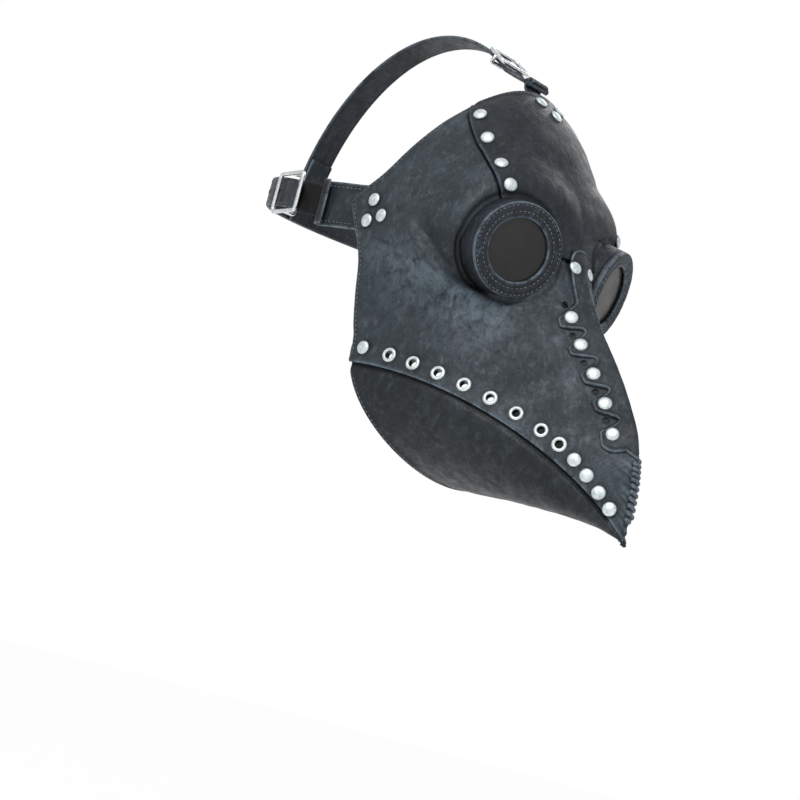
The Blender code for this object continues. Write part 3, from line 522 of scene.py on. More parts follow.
def cutHoles(piece, centres, axes, radii, depth=9 * mm):
    form = bmesh.new()
    for centre, axis, radius in zip(centres, axes, radii):
        turn = Vector(axis).to_track_quat("Z", "Y").to_matrix().to_4x4()
        turn.translation = Vector(centre)
        bmesh.ops.create_cone(form, cap_ends=True, segments=28, radius1=radius, radius2=radius,
                              depth=2 * depth, matrix=turn)
    mesh = bpy.data.meshes.new("punch")
    form.to_mesh(mesh)
    form.free()
    punch = bpy.data.objects.new("punch", mesh)
    scene.collection.objects.link(punch)
    step = piece.modifiers.new("holes", "BOOLEAN")
    step.operation = "DIFFERENCE"
    step.object = punch
    applied(piece)
    bpy.data.objects.remove(punch)
    return piece


def socketFold(points, radius):
    # the hide dips beside the goggle and folds over a soft crest below and behind it, in mm; also returns
    # the share of painted shade in the dip and the share of painted highlight below the crest
    away = points - eyeSpot
    upward = np.array((0, 0, 1.0)) - eyeLine * eyeLine[2]
    upward /= np.linalg.norm(upward)
    sidewise = np.cross(upward, eyeLine)
    angle = np.degrees(np.arctan2(away @ upward, away @ sidewise))
    r = radius / mm
    turn = np.mod(angle, 360)
    crestAt = np.interp(turn, foldLook["turns"], foldLook["radiiMm"])
    share = smooth((turn - 172) / 24) * smooth((268 - turn) / 22)
    crest = foldLook["crestMm"] * np.exp(-((r - crestAt) / np.where(r < crestAt, 1.5, 11.0)) ** 2)
    recess = -foldLook["recessMm"] * smooth((crestAt - r) / 3.2)
    fade = np.where(r < crestAt + 3, 2.5, 21.0)
    lit = smooth((turn - 190) / 25) * smooth((300 - turn) / 40) * np.exp(-((r - crestAt - 3) / fade) ** 2)
    crease = 1.0 * np.exp(-((r - goggle["creaseMm"]) / 1.8) ** 2)
    return (crest + recess) * share - crease, share * smooth((crestAt - r) / 4.0), lit


# turns run from 0 at the nose side up over the goggle to 180 at the temple side
foldLook = {"turns": (150, 190, 215, 235, 252, 270), "radiiMm": (60, 53, 45.5, 38.5, 34, 33), "crestMm": 3.0,
            "recessMm": 4.6}
puckerLook = {"pitchMm": 5.2, "depthMm": 0.55, "runMm": 8.0}


def openEyes(mesh):
    # the hide ends under the goggle's ring
    form = bmesh.new()
    form.from_mesh(mesh)
    doomed = []
    for face in form.faces:
        spot = np.array(face.calc_center_median())
        spot[0] = -abs(spot[0])
        if eyeRadius(spot)[0] < goggle["hideHoleMm"] * mm:
            doomed.append(face)
    bmesh.ops.delete(form, geom=doomed, context="FACES")
    form.to_mesh(mesh)
    form.free()


def cheekSheet(side, label):
    rows, columns = 236, 118
    u = np.linspace(0, lastSection, rows)[:, None]
    seam = np.where(u <= 5.6, seamShare(u), np.clip(0.09 * (6.05 - u) / 0.45, 0, 1))
    low = np.maximum(seam - across(u, 9 * mm), 0)
    s = np.linspace(0, 1, columns)[None, :]
    v = low + (1 - low) * s
    u = np.broadcast_to(u, v.shape)
    points, out = skin(u, v), normals(skin, u, v)
    run = runLength(points, 1)
    fromRim = run[:, -1:] - run
    fromTop = runLength(points, 0)
    fromSeam = fromTop[-1:] - fromTop
    pastBrow = (v - seam) / np.maximum(across(u[:, :1], 1 * mm), 1e-9)
    tipBlend = smooth((v - 0.05) / 0.09)   # the cheeks and the jaw run together at the beak's tip
    height = cheekLift(u) * np.where(u > 12, tipBlend, 1.0)
    height = height - faceShape["lapDropMm"] * (1 - smooth((pastBrow - 0.3) / 1.6)) * smooth((5.9 - u) / 0.35)
    height = height + hem(fromRim) + np.where(fromRim > 5, hem(fromTop), 0)
    seamEdge = 0.35 * smooth((3.4 - fromSeam) / 1.0) - 1.0 * np.clip(1 - fromSeam / 1.6, 0, 1) ** 2
    height = height + seamEdge * tipBlend
    radius, _ = eyeRadius(points)
    fold, shaded, lit = socketFold(points, radius)
    height = height + fold
    fastened = near(points, browSpots + ridgeSpots + jawSpots + eyeletSpots + fasteners["temple"])
    fromBorder = np.minimum(fromRim, fromTop)
    height = height + dents(points) * smooth((fastened - 3) / 8) * smooth((fromBorder - 4) / 8)
    height = height - fasteners["sinkMm"] * np.exp(-(fastened / fasteners["sinkRunMm"]) ** 2)
    tip = smooth((u - 11.55) / 0.2)
    ridge = np.exp(-(run / puckerLook["runMm"]) ** 2)
    ripple = np.sin(fromTop[:, :1] * 2 * math.pi / puckerLook["pitchMm"])
    height = height + tip * ridge * puckerLook["depthMm"] * ripple
    points = points + out * (height * mm)[..., None]
    points[..., 0] = np.minimum(points[..., 0], -0.12 * mm)
    wear = np.exp(-(fromRim / 1.3) ** 2) + np.exp(-(fromSeam / 1.2) ** 2)
    wear = wear + 0.6 * np.exp(-(fromTop / 1.3) ** 2)
    wear = np.maximum(np.clip(wear, 0, 1), 0.6 * tip * ridge * (ripple > 0.2))
    # a painted highlight: the cheek below the fold's crest is paled like worn hide
    wear = np.maximum(wear, 0.55 * lit)
    # painted shade: the stitch groove, the crease round the goggle, the dip inside the fold, the shadow under
    # the brow's edge, rings round the fasteners and the pucker troughs
    crease = np.exp(-((radius / mm - goggle["creaseMm"]) / 2.4) ** 2)
    soot = 0.75 * np.exp(-((fromRim - 3) / 0.6) ** 2) + 0.6 * crease
    soot = soot + 0.42 * shaded
    soot = soot + 0.8 * np.exp(-np.clip(pastBrow, 0, None) / 1.2) * (seam > 0)
    soot = soot + 0.55 * np.exp(-((fastened - fasteners["shadeAtMm"]) / 1.1) ** 2)
    soot = soot + 0.5 * tip * ridge * (ripple < -0.3)
    mesh = gridMesh("cheek_panel_" + label, points, {"wear": wear, "soot": np.clip(soot, 0, 0.9)}, side)
    openEyes(mesh)
    piece = addPiece("hide_cheek_" + label, mesh, cheekHide)
    thickened(piece, 2.0)
    centres, axes = placeFrames(eyeletSpots + holeSpots, side)
    cutHoles(piece, centres, axes, [fasteners["eyeletHoleMm"] * mm] * len(eyeletSpots)
             + [fasteners["slotHoleMm"] * mm] * len(holeSpots))
    return smoothShaded(piece)


def mirroredSheet(u, share):
    # points and normals of a sheet that crosses the centre line; share < 0 is the wearer's left
    points, out = skin(u, np.abs(share)), normals(skin, u, np.abs(share))
    left = share < 0
    points[left, 0] *= -1
    out[left, 0] *= -1
    centre = np.abs(share) < 1e-9
    out[centre, 0] = 0
    return points, out / np.linalg.norm(out, axis=-1, keepdims=True)


def browSheet():
    rows, columns = 120, 160
    u = np.linspace(0, 5.58, rows)[:, None]
    s = np.linspace(-1, 1, columns * 2 + 1)[None, :]
    share = s * seamShare(u)
    u = np.broadcast_to(u, share.shape)
    points, out = mirroredSheet(u, share)
    run = runLength(points, 1)
    fromSeam = np.minimum(run, run[:, -1:] - run)
    fromTop = runLength(points, 0)
    right = points * np.where(points[..., :1] > 0, np.array((-1, 1, 1)), 1)
    radius, _ = eyeRadius(right)
    height = faceShape["seamLiftMm"] - 0.9 * np.clip(1 - fromSeam / 1.5, 0, 1) ** 2
    height = height + 0.3 * smooth((3.2 - fromSeam) / 0.8)
    height = height + hem(fromTop) * (fromSeam > 3)
    fastened = near(right, browSpots + [(a, abs(b)) for a, b in fasteners["crown"]])
    height = height + dents(points, 30.0, 0.6) * smooth((fastened - 3) / 8) * smooth((fromTop - 4) / 8)
    height = height - fasteners["sinkMm"] * np.exp(-(fastened / fasteners["sinkRunMm"]) ** 2)
    height = height - 1.0 * np.exp(-((radius / mm - goggle["creaseMm"]) / 1.8) ** 2)
    points = points + out * (height * mm)[..., None]
    wear = np.clip(np.exp(-(fromSeam / 1.1) ** 2) + np.exp(-(fromTop / 1.3) ** 2), 0, 1)
    # painted shade: the stitch groove, the crease round the goggle and rings round the rivets
    crease = np.exp(-((radius / mm - goggle["creaseMm"]) / 2.4) ** 2)
    soot = 0.7 * np.exp(-((fromTop - 3) / 0.6) ** 2) + 0.5 * crease
    soot = soot + 0.55 * np.exp(-((fastened - fasteners["shadeAtMm"]) / 1.1) ** 2)
    mesh = gridMesh("brow_panel", points, {"wear": wear, "soot": np.clip(soot, 0, 0.9)}, -1)
    openEyes(mesh)
    piece = addPiece("hide_brow", mesh, browHide)
    thickened(piece, 2.0)
    return smoothShaded(piece)


def jawSheet():
    rows, columns = 200, 90
    v = np.concatenate([[0.012, 0.02, 0.03], np.linspace(0.042, 1, rows)])[:, None]
    around = np.linspace(-1, 1, columns * 2 + 1)[None, :]
    # from the lap inside one cheek, round the keel, to the lap inside the other
    away = np.abs(around)
    lapStart = 0.88
    w = np.clip(1 - away / lapStart, 0, 1) * np.ones_like(v)
    lapMm = 12.0 * np.clip((away - lapStart) / (1 - lapStart), 0, 1) * np.minimum(1, v * 6)
    vv = np.broadcast_to(v, w.shape)
    below, belowOut = jaw(w, vv), normals(jaw, w, vv)
    lapU = lastSection - upShare(vv, lapMm * mm)
    above, aboveOut = skin(lapU, vv), normals(skin, lapU, vv)
    lapped = (away > lapStart) & (np.ones_like(v) > 0)
    points = np.where(lapped[..., None], above, below)
    out = np.where(lapped[..., None], aboveOut, belowOut)
    runW = np.linalg.norm(points - skin(np.full_like(vv, lastSection), vv), axis=-1) / mm
    drop = faceShape["seamLiftMm"] - 3.2
    tipBlend = smooth((vv - 0.05) / 0.09)
    height = np.where(lapped, drop, drop * (1 - smooth(runW / 6.5)) * tipBlend - 0.25 * (1 - tipBlend))
    fromRim = runLength(points, 0)
    fromRim = fromRim[-1:] - fromRim
    height = height + np.where(lapped, 0, hem(fromRim))
    height = height + dents(points, 24.0, 0.6) * smooth(runW / 8) * smooth((fromRim - 4) / 8)
    flip = np.broadcast_to(around < 0, w.shape)
    points[flip, 0] *= -1
    out[flip, 0] *= -1
    centre = np.broadcast_to(away < 1e-9, w.shape)
    out[centre, 0] = 0
    out = out / np.maximum(np.linalg.norm(out, axis=-1, keepdims=True), 1e-9)
    points = points + out * (height * mm)[..., None]
    wear = 0.9 * np.exp(-(fromRim / 1.3) ** 2)
    # painted shade: the stitch groove, all of the lap under the cheeks and a band beside the jaw seam
    soot = 0.75 * np.exp(-((fromRim - 3) / 0.6) ** 2) + np.where(lapped, 0.9, 0.85 * np.exp(-runW / 1.6))
    mesh = gridMesh("jaw_panel", points, {"wear": wear, "soot": np.clip(soot, 0, 0.92)}, -1)
    piece = addPiece("hide_jaw", mesh, jawHide)
    form = bmesh.new()
    form.from_mesh(mesh)
    bmesh.ops.recalc_face_normals(form, faces=form.faces)
    lowest = min(form.faces, key=lambda f: f.calc_center_median().z + 1000 * abs(f.calc_center_median().x))
    if lowest.normal.z > 0:
        bmesh.ops.reverse_faces(form, faces=form.faces)
    form.to_mesh(mesh)
    form.free()
    thickened(piece, 1.8)
    centres, axes = [], []
    for side in sides.values():
        c, a = placeFrames(eyeletSpots, side)
        centres += list(c)
        axes += list(a)
    cutHoles(piece, centres, axes, [fasteners["eyeletHoleMm"] * mm] * len(centres))
    return smoothShaded(piece)


# The bridge strip covers the ridge where both cheeks meet. Its edge wanders round each rivet and back in.
def stripEdge(u):
    width = stripLook["narrowMm"] + (stripLook["wideMm"] - stripLook["narrowMm"]) * smooth((u - 6.93) / 0.3)
    for slot in slotUs:
        width = width - stripLook["slotMm"] * (1 - smooth(np.abs(u - slot) / stripLook["slotSpan"]))
    width = width - 7 * np.clip(1 - (stripLook["end"] - u) / 0.22, 0, 1) ** 2
    cap = np.minimum(1, (u - stripLook["start"]) / 0.5)
    return width * np.sqrt(np.maximum(0.02, 1 - (1 - cap) ** 2))


def stripSheet():
    rows, half = 520, 34
    u = np.linspace(stripLook["start"], stripLook["end"], rows)[:, None]
    s = np.linspace(-1, 1, half * 2 + 1)[None, :]
    s = np.sign(s) * (1 - (1 - np.abs(s)) ** 1.4)
    away = stripEdge(u) * np.abs(s)
    down = u + stripLook["slantPerMm"] * np.maximum(0, away - stripLook["straightMm"])
    share = ridgeShare(down, away * mm) * np.where(s < 0, -1, 1)
    share[:, half] = 0
    points, out = mirroredSheet(down, share)
    # distance to the strip's outline, found on its points
    outline = np.concatenate([points[:, 0], points[:, -1], points[0], points[-1]])
    fromEdge = np.full(points.shape[:2], 1e9)
    for spot in outline[::2]:
        fromEdge = np.minimum(fromEdge, np.linalg.norm(points - spot, axis=-1))
    fromEdge = fromEdge / mm
    rise = faceShape["stripLiftMm"] + 1.2 * (1 - smooth((down - 5.6) / 0.6))
    fastened = near(points * np.where(points[..., :1] > 0, np.array((-1, 1, 1)), 1), ridgeSpots)
    height = rise - 1.4 * np.clip(1 - fromEdge / 1.4, 0, 1) ** 2
    height = height - 0.3 * np.exp(-((fromEdge - 2.3) / 0.5) ** 2)
    height = height + dents(points, 18.0, 0.35) * smooth((fastened - 3) / 8)
    points = points + out * (height * mm)[..., None]
    wear = 0.9 * np.exp(-((fromEdge - 0.9) / 0.6) ** 2)
    # painted shade: the stitch groove, the outer edge and rings round the rivets
    soot = 0.65 * np.exp(-((fromEdge - 2.3) / 0.5) ** 2) + 0.8 * np.exp(-fromEdge / 0.3)
    soot = soot + 0.5 * np.exp(-((fastened - fasteners["shadeAtMm"]) / 1.0) ** 2)
    mesh = gridMesh("bridge_strip", points, {"wear": wear, "soot": np.clip(soot, 0, 0.9)}, -1)
    piece = addPiece("hide_bridge_strip", mesh, stripHide)
    thickened(piece, stripLook["thickMm"])
    return smoothShaded(piece, 50)


shellPieces = {}
for label, side in sides.items():
    shellPieces["cheek_panel_" + label] = cheekSheet(side, label)
    print("cheek panel", label)
shellPieces["brow_panel"] = browSheet()
shellPieces["jaw_panel"] = jawSheet()
shellPieces["bridge_strip"] = stripSheet()
for node, piece in shellPieces.items():
    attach(piece, "face_shell")
    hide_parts(node)
print("panels made")


def copyTree(name):
    tree = bpy.data.node_groups.new(name, "GeometryNodeTree")
    for key, kind in (("Places", "Geometry"), ("Shape", "Object"), ("Finish", "Material"), ("Size", "Float"),
                      ("Size spread", "Float"), ("Seed", "Int")):
        tree.interface.new_socket(key, in_out="INPUT", socket_type="NodeSocket" + kind)
    tree.interface.new_socket("Copies", in_out="OUTPUT", socket_type="NodeSocketGeometry")
    given = addNode(tree, "NodeGroupInput").outputs
    facing, along = (addNode(tree, "GeometryNodeInputNamedAttribute", {"data_type": "FLOAT_VECTOR"},
                             {0: key}).outputs[0] for key in ("facing", "along"))
    stand = addNode(tree, "FunctionNodeAlignRotationToVector", {"axis": "Z"}, {"Vector": facing})
    turn = addNode(tree, "FunctionNodeAlignRotationToVector", {"axis": "X", "pivot_axis": "Z"},
                   {"Rotation": stand.outputs[0], "Vector": along})
    shape = addNode(tree, "GeometryNodeObjectInfo", {}, {"Object": given["Shape"]})
    least, most = (addNode(tree, "ShaderNodeMath", {"operation": way},
                           {0: 1.0, 1: given["Size spread"]}).outputs[0] for way in ("SUBTRACT", "ADD"))
    spread = addNode(tree, "FunctionNodeRandomValue", {"data_type": "FLOAT"},
                     {2: least, 3: most, "Seed": given["Seed"]}).outputs[1]
    size = addNode(tree, "ShaderNodeMath", {"operation": "MULTIPLY"},
                   {0: given["Size"], 1: spread}).outputs[0]
    copies = addNode(tree, "GeometryNodeInstanceOnPoints", {}, {
        "Points": given["Places"], "Instance": shape.outputs["Geometry"], "Rotation": turn.outputs[0],
        "Scale": size})
    real = addNode(tree, "GeometryNodeRealizeInstances", {}, {0: copies.outputs[0]})
    dressed = addNode(tree, "GeometryNodeSetMaterial", {}, {"Geometry": real.outputs[0],
                                                           "Material": given["Finish"]})
    addNode(tree, "NodeGroupOutput", {}, {0: dressed.outputs[0]})
    return tree


fastenerTree = copyTree("fasteners_and_stitches")
socketOf = {item.name: item.identifier for item in fastenerTree.interface.items_tree
            if item.in_out == "INPUT"}


def copiesAt(name, shape, points, facings, alongs, finish, spread=0.0, seed=3):
    mesh = bpy.data.meshes.new(name)
    mesh.from_pydata([tuple(p) for p in points], [], [])
    for key, vectors in (("facing", facings), ("along", alongs)):
        layer = mesh.attributes.new(key, "FLOAT_VECTOR", "POINT")
        layer.data.foreach_set("vector", np.ascontiguousarray(vectors, np.float32).ravel())
    piece = bpy.data.objects.new(name, mesh)
    scene.collection.objects.link(piece)
    step = piece.modifiers.new("copies", "NODES")
    step.node_group = fastenerTree
    for key, value in (("Shape", shape), ("Finish", finish), ("Size", 1.0), ("Size spread", spread),
                       ("Seed", seed)):
        step[socketOf[key]] = value
    applied(piece)
    piece.data.materials.clear()
    piece.data.materials.append(finish)
    return piece


def turnedShape(name, profile, steps=40, closed=False, marks=None):
    # profile points are (radius, height) in mm, from the top centre outwards and down
    form = bmesh.new()
    wearLayer = form.verts.layers.float.new("wear")
    paintedShadeLayer = form.verts.layers.float.new("soot")
    rings = []
    for k, (radius, height) in enumerate(profile):
        if radius < 1e-6:
            ring = [form.verts.new((0, 0, height * mm))]
        else:
            ring = [form.verts.new((radius * mm * math.cos(2 * math.pi * j / steps),
                                    radius * mm * math.sin(2 * math.pi * j / steps), height * mm))
                    for j in range(steps)]
        for vert in ring:
            vert[wearLayer], vert[paintedShadeLayer] = (marks or {}).get(k, (0.0, 0.0))
        rings.append(ring)
    pairs = list(zip(rings, rings[1:])) + ([(rings[-1], rings[0])] if closed else [])
    for upper, lower in pairs:
        for j in range(steps):
            n = (j + 1) % steps
            if len(upper) == 1 and len(lower) == 1:
                continue
            if len(upper) == 1:
                form.faces.new((upper[0], lower[j], lower[n]))
            elif len(lower) == 1:
                form.faces.new((upper[j], lower[0], upper[n]))
            else:
                form.faces.new((upper[j], lower[j], lower[n], upper[n]))
    bmesh.ops.recalc_face_normals(form, faces=form.faces)
    mesh = bpy.data.meshes.new(name)
    form.to_mesh(mesh)
    form.free()
    mesh.shade_smooth()
    piece = bpy.data.objects.new(name, mesh)
    scene.collection.objects.link(piece)
    return piece


# marks give (wear, painted shade) per profile row; painted shade darkens the skirt where it meets the hide
rivetShape = turnedShape("rivet_shape", [
    (0, 1.75), (1.6, 1.68), (2.9, 1.42), (3.7, 1.05), (4.15, 0.62), (4.35, 0.2), (4.3, -0.5), (1.5, -0.6),
    (1.5, -4.4), (0, -4.4)], 28, marks={4: (0, 0.15), 5: (0, 0.7), 6: (0, 0.9)})
# painted shade darkens the eyelet's hole and its underside
eyeletShape = turnedShape("eyelet_shape", [
    (2.45, -0.5), (2.45, 0.3), (2.75, 0.75), (3.3, 1.0), (3.9, 0.9), (4.45, 0.55), (4.75, 0.0), (4.6, -0.35),
    (3.2, -0.35), (3.1, -4.6), (2.5, -4.6)], 36, closed=True,
    marks={0: (0, 0.96), 1: (0, 0.4), 6: (0, 0.6), 7: (0, 0.9), 9: (0, 0.9), 10: (0, 1.0)})


def stitchShape(lengthMm, radiusMm):
    form = bmesh.new()
    stations, around = 7, 6
    rings = []
    for k in range(stations):
        t = k / (stations - 1) * 2 - 1
        r = radiusMm * math.sqrt(max(0.12, 1 - abs(t) ** 3)) * mm
        rise = -0.5 * radiusMm * t * t * mm
        rings.append([form.verts.new((t * lengthMm / 2 * mm, r * math.cos(2 * math.pi * j / around),
                                      rise + r * math.sin(2 * math.pi * j / around))) for j in range(around)])
    for a, b in zip(rings, rings[1:]):
        for j in range(around):
            form.faces.new((a[j], a[(j + 1) % around], b[(j + 1) % around], b[j]))
    form.faces.new(rings[0][::-1])
    form.faces.new(rings[-1])
    bmesh.ops.recalc_face_normals(form, faces=form.faces)
    mesh = bpy.data.meshes.new("stitch_shape")
    form.to_mesh(mesh)
    form.free()
    mesh.shade_smooth()
    piece = bpy.data.objects.new("stitch_shape", mesh)
    scene.collection.objects.link(piece)
    return piece


seamStitch = stitchShape(2.1, 0.33)


def evenly(points, facings, pitchMm):
    # places at one pitch along a line, with its direction there
    points, facings = np.asarray(points), np.asarray(facings)
    run = np.concatenate([[0], np.cumsum(np.linalg.norm(np.diff(points, axis=0), axis=1))])
    count = max(2, int(run[-1] / (pitchMm * mm)))
    at = (np.arange(count) + 0.5) * run[-1] / count
    spots = np.stack([np.interp(at, run, points[:, k]) for k in range(3)], 1)
    faces = np.stack([np.interp(at, run, facings[:, k]) for k in range(3)], 1)
    ahead = np.stack([np.interp(at + 0.5 * mm, run, points[:, k]) for k in range(3)], 1)
    behind = np.stack([np.interp(at - 0.5 * mm, run, points[:, k]) for k in range(3)], 1)
    return spots, faces, ahead - behind


def joined(parts):
    return [np.concatenate([p[k] for p in parts]) for k in range(3)]


def onShell(piece, nodes=()):
    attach(piece, "face_shell")
    if nodes:
        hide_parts(*nodes)
    return piece


# Rivets of each group, with their shanks, standing on the hide where the CAD puts them.
fastenerHeights = {"brow": 1.15, "temple": 0.75, "crown": 1.15, "jaw": 1.1, "ridge": 1.7, "eyelet": 1.0}
rivetGroups = [("brow", browSpots, "brow_rivet_{}_{}"), ("jaw", jawSpots, "jaw_rivet_{}_{}"),
               ("temple", fasteners["temple"], "temple_rivet_{}_{}"), ("ridge", ridgeSpots, None)]
for kind, spots, pattern in rivetGroups:
    points, facings, nodes = [], [], []
    for label, side in sides.items():
        c, a = placeFrames(spots, side)
        points.append(c + a * fastenerHeights[kind] * mm)
        facings.append(a)
        nodes += [pattern.format(label, k + 1) for k in range(len(spots))] if pattern else []
    points, facings = np.concatenate(points), np.concatenate(facings)
    alongs = np.cross(facings, (0.3, 0.2, 1.0))
    rivets = copiesAt("rivets_" + kind, rivetShape, points, facings, alongs, rivetZinc, 0.04)
    onShell(rivets, nodes)
crownPoints, crownOuts = [], []
for u, v in fasteners["crown"]:
    c, a = placeFrames([(u, abs(v))], 1 if v < 0 else -1)
    crownPoints.append(c[0] + a[0] * fastenerHeights["crown"] * mm)
    crownOuts.append(a[0])
onShell(copiesAt("rivets_crown", rivetShape, crownPoints, crownOuts, np.cross(crownOuts, (0.3, 0.2, 1.0)),
                 rivetZinc, 0.04), [f"crown_rivet_{k}" for k in (1, 2, 3)])
points, facings = [], []
for side in sides.values():
    c, a = placeFrames(eyeletSpots, side)
    points.append(c + a * fastenerHeights["eyelet"] * mm)
    facings.append(a)
points, facings = np.concatenate(points), np.concatenate(facings)
onShell(copiesAt("eyelets_jaw_seam", eyeletShape, points, facings, np.cross(facings, (0.3, 0.2, 1.0)),
                 rivetZinc, 0.03))
print("rivets and eyelets set")

# Border stitches: along the rear rim, the top edge and the jaw's rim, 3 mm in from the edge.
borderStitch = {"insetMm": 3.0, "pitchMm": 3.1, "heightMm": 0.28}


def rimStitches(side):
    u = np.linspace(0.25, 12.6, 500)
    perShare = np.linalg.norm(skin(u, 0.99) - skin(u, 1.0), axis=-1) / 0.01
    v = 1 - borderStitch["insetMm"] * mm / perShare
    c, a = skin(u, v), normals(skin, u, v)
    c = c + a * ((cheekLift(u) + borderStitch["heightMm"]) * mm)[:, None]
    return evenly(mirrored(c, side), mirrored(a, side), borderStitch["pitchMm"])


def jawRimStitches(side):
    w = np.linspace(0.1, 1.0, 300)
    v = np.full_like(w, 0.98)
    v = 1 - borderStitch["insetMm"] * mm / (np.linalg.norm(jaw(w, v) - jaw(w, v + 0.02), axis=-1) / 0.02)
    c, a = jaw(w, v), normals(jaw, w, v)
    c = c + a * (borderStitch["heightMm"] * mm)
    return evenly(mirrored(c, side), mirrored(a, side), borderStitch["pitchMm"])


def topStitches(side):
    v = np.linspace(0.0, 0.97, 300)
    perShare = np.linalg.norm(skin(0.1, v) - skin(0.0, v), axis=-1) / 0.1
    u = borderStitch["insetMm"] * mm / perShare
    c, a = skin(u, v), normals(skin, u, v)
    lift = np.where(v < 0.88, faceShape["seamLiftMm"], 0.0) + borderStitch["heightMm"]
    return evenly(mirrored(c + a * (lift * mm)[:, None], side), mirrored(a, side), borderStitch["pitchMm"])


border = joined([f(side) for side in sides.values() for f in (rimStitches, jawRimStitches, topStitches)])
onShell(copiesAt("stitches_border", seamStitch, *border, seamThread, 0.12))


def eyeFrame(side):
    line = Vector(eyeLine * np.array((-side, 1, 1)))
    x = Vector((0, 0, 1)).cross(line).normalized()
    turn = Matrix((x, line.cross(x), line)).transposed().to_4x4()
    turn.translation = Vector(eyeSpot * np.array((-side, 1, 1)))
    return turn


ringProfile = [
    (20.0, -2.0), (20.0, -0.7), (20.25, -0.1), (20.8, 0.35), (21.6, 0.65), (22.5, 0.75), (23.1, 0.68),
    (23.5, 0.42), (23.9, 0.36), (24.3, 0.42), (24.7, 0.68), (25.4, 0.8), (26.6, 0.8), (27.2, 0.7),
    (27.6, 0.42), (28.0, 0.36), (28.4, 0.42), (28.8, 0.62), (29.3, 0.5), (29.8, 0.0), (30.0, -0.8),
    (30.1, -2.6), (30.0, -3.3), (29.7, -3.6), (29.75, -4.0), (30.15, -4.3), (30.3, -6.0), (30.6, -11.0),
    (30.9, -16.0), (31.2, -22.0), (26.2, -22.0), (22.3, -11.0), (22.3, -2.0),
]
# marks give (wear, painted shade): painted shade lies in the two stitch grooves, under the outer lip and down
# the barrel
ringMarks = {
    1: (0.9, 0), 2: (0.9, 0), 3: (0.5, 0), 7: (0, 0.6), 8: (0, 0.75), 9: (0, 0.6), 14: (0, 0.5), 15: (0, 0.7),
    16: (0, 0.5), 18: (0.5, 0), 19: (0.85, 0), 20: (0.5, 0), 22: (0, 0.6), 23: (0, 0.9), 24: (0, 0.7),
    28: (0, 0.45), 29: (0, 0.8),
}
lensProfile = [(0, -1.75), (8, -1.8), (15, -1.95), (19, -2.15), (22.0, -2.35), (22.0, -4.3), (15, -4.3),
               (0, -4.3)]
retainerProfile = [(22.0, -4.7), (22.0, -7.2), (21.6, -7.6), (19.4, -7.6), (19.0, -7.2), (19.0, -4.9),
                   (19.2, -4.7)]


def placedByMesh(piece, turn):
    piece.data.transform(turn)
    return piece


for label, side in sides.items():
    turn = eyeFrame(side)
    ring = turnedShape("goggle_ring_" + label, ringProfile, 128, closed=True, marks=ringMarks)
    for vert in ring.data.vertices:
        x, y, z = vert.co / mm
        radius = math.hypot(x, y)
        wobble = 0.16 * noise.noise(Vector((x, y, z)) / 7.0) + 0.10 * noise.noise(Vector((x, y, z)) / 2.6)
        vert.co.z += wobble * mm
        if radius > 28:
            vert.co.x *= 1 + wobble * 0.006
            vert.co.y *= 1 + wobble * 0.006
    ring.name = "moulded_ring_" + label
    ring.data.materials.append(ringHide)
    placedByMesh(ring, turn)
    onShell(ring, ["goggle_ring_" + label])
    rows = []
    for radius, count in ((23.9, 50), (28.0, 58)):
        for k in range(count):
            a = 2 * math.pi * k / count
            rows.append(((radius * mm * math.cos(a), radius * mm * math.sin(a), 0.42 * mm), (0, 0, 1),
                         (-math.sin(a), math.cos(a), 0)))
    stitches = copiesAt("stitches_ring_" + label, seamStitch, *zip(*rows), seamThread, 0.15)
    onShell(placedByMesh(stitches, turn))
    lens = turnedShape("lens_disc_" + label, lensProfile, 96)
    lens.data.materials.append(lensPlastic)
    onShell(placedByMesh(smoothShaded(lens), turn), ["lens_" + label])
    retainer = turnedShape("retainer_" + label, retainerProfile, 96, closed=True)
    retainer.data.materials.append(ringHide)
    onShell(placedByMesh(smoothShaded(retainer), turn), ["lens_retainer_" + label])
print("goggles made")


def tube(name, points, radius, finish, closed=False, around=12):
    points = [Vector(p) for p in points]
    count = len(points)
    form = bmesh.new()
    side = None
    rings = []
    for k, p in enumerate(points):
        a = points[(k - 1) % count] if closed or k else p
        b = points[(k + 1) % count] if closed or k < count - 1 else p
        ahead = (b - a).normalized()
        if side is None:
            side = ahead.orthogonal().normalized()
        side = (side - ahead * side.dot(ahead)).normalized()
        other = ahead.cross(side)
        rings.append([form.verts.new(p + side * (radius * math.cos(2 * math.pi * j / around))
                                     + other * (radius * math.sin(2 * math.pi * j / around)))
                      for j in range(around)])
    if closed:   # the last ring is turned to meet the first
        first, last = rings[0], rings[-1]
        shift = min(range(around), key=lambda s: (last[s].co - first[0].co).length)
        pairs = list(zip(rings, rings[1:])) + [(last[shift:] + last[:shift], first)]
    else:
        pairs = list(zip(rings, rings[1:]))
        form.faces.new(rings[0][::-1])
        form.faces.new(rings[-1])
    for a, b in pairs:
        for j in range(around):
            form.faces.new((a[j], a[(j + 1) % around], b[(j + 1) % around], b[j]))
    bmesh.ops.recalc_face_normals(form, faces=form.faces)
    mesh = bpy.data.meshes.new(name)
    form.to_mesh(mesh)
    form.free()
    piece = addPiece(name, mesh, finish)
    piece.data.shade_smooth()
    return piece


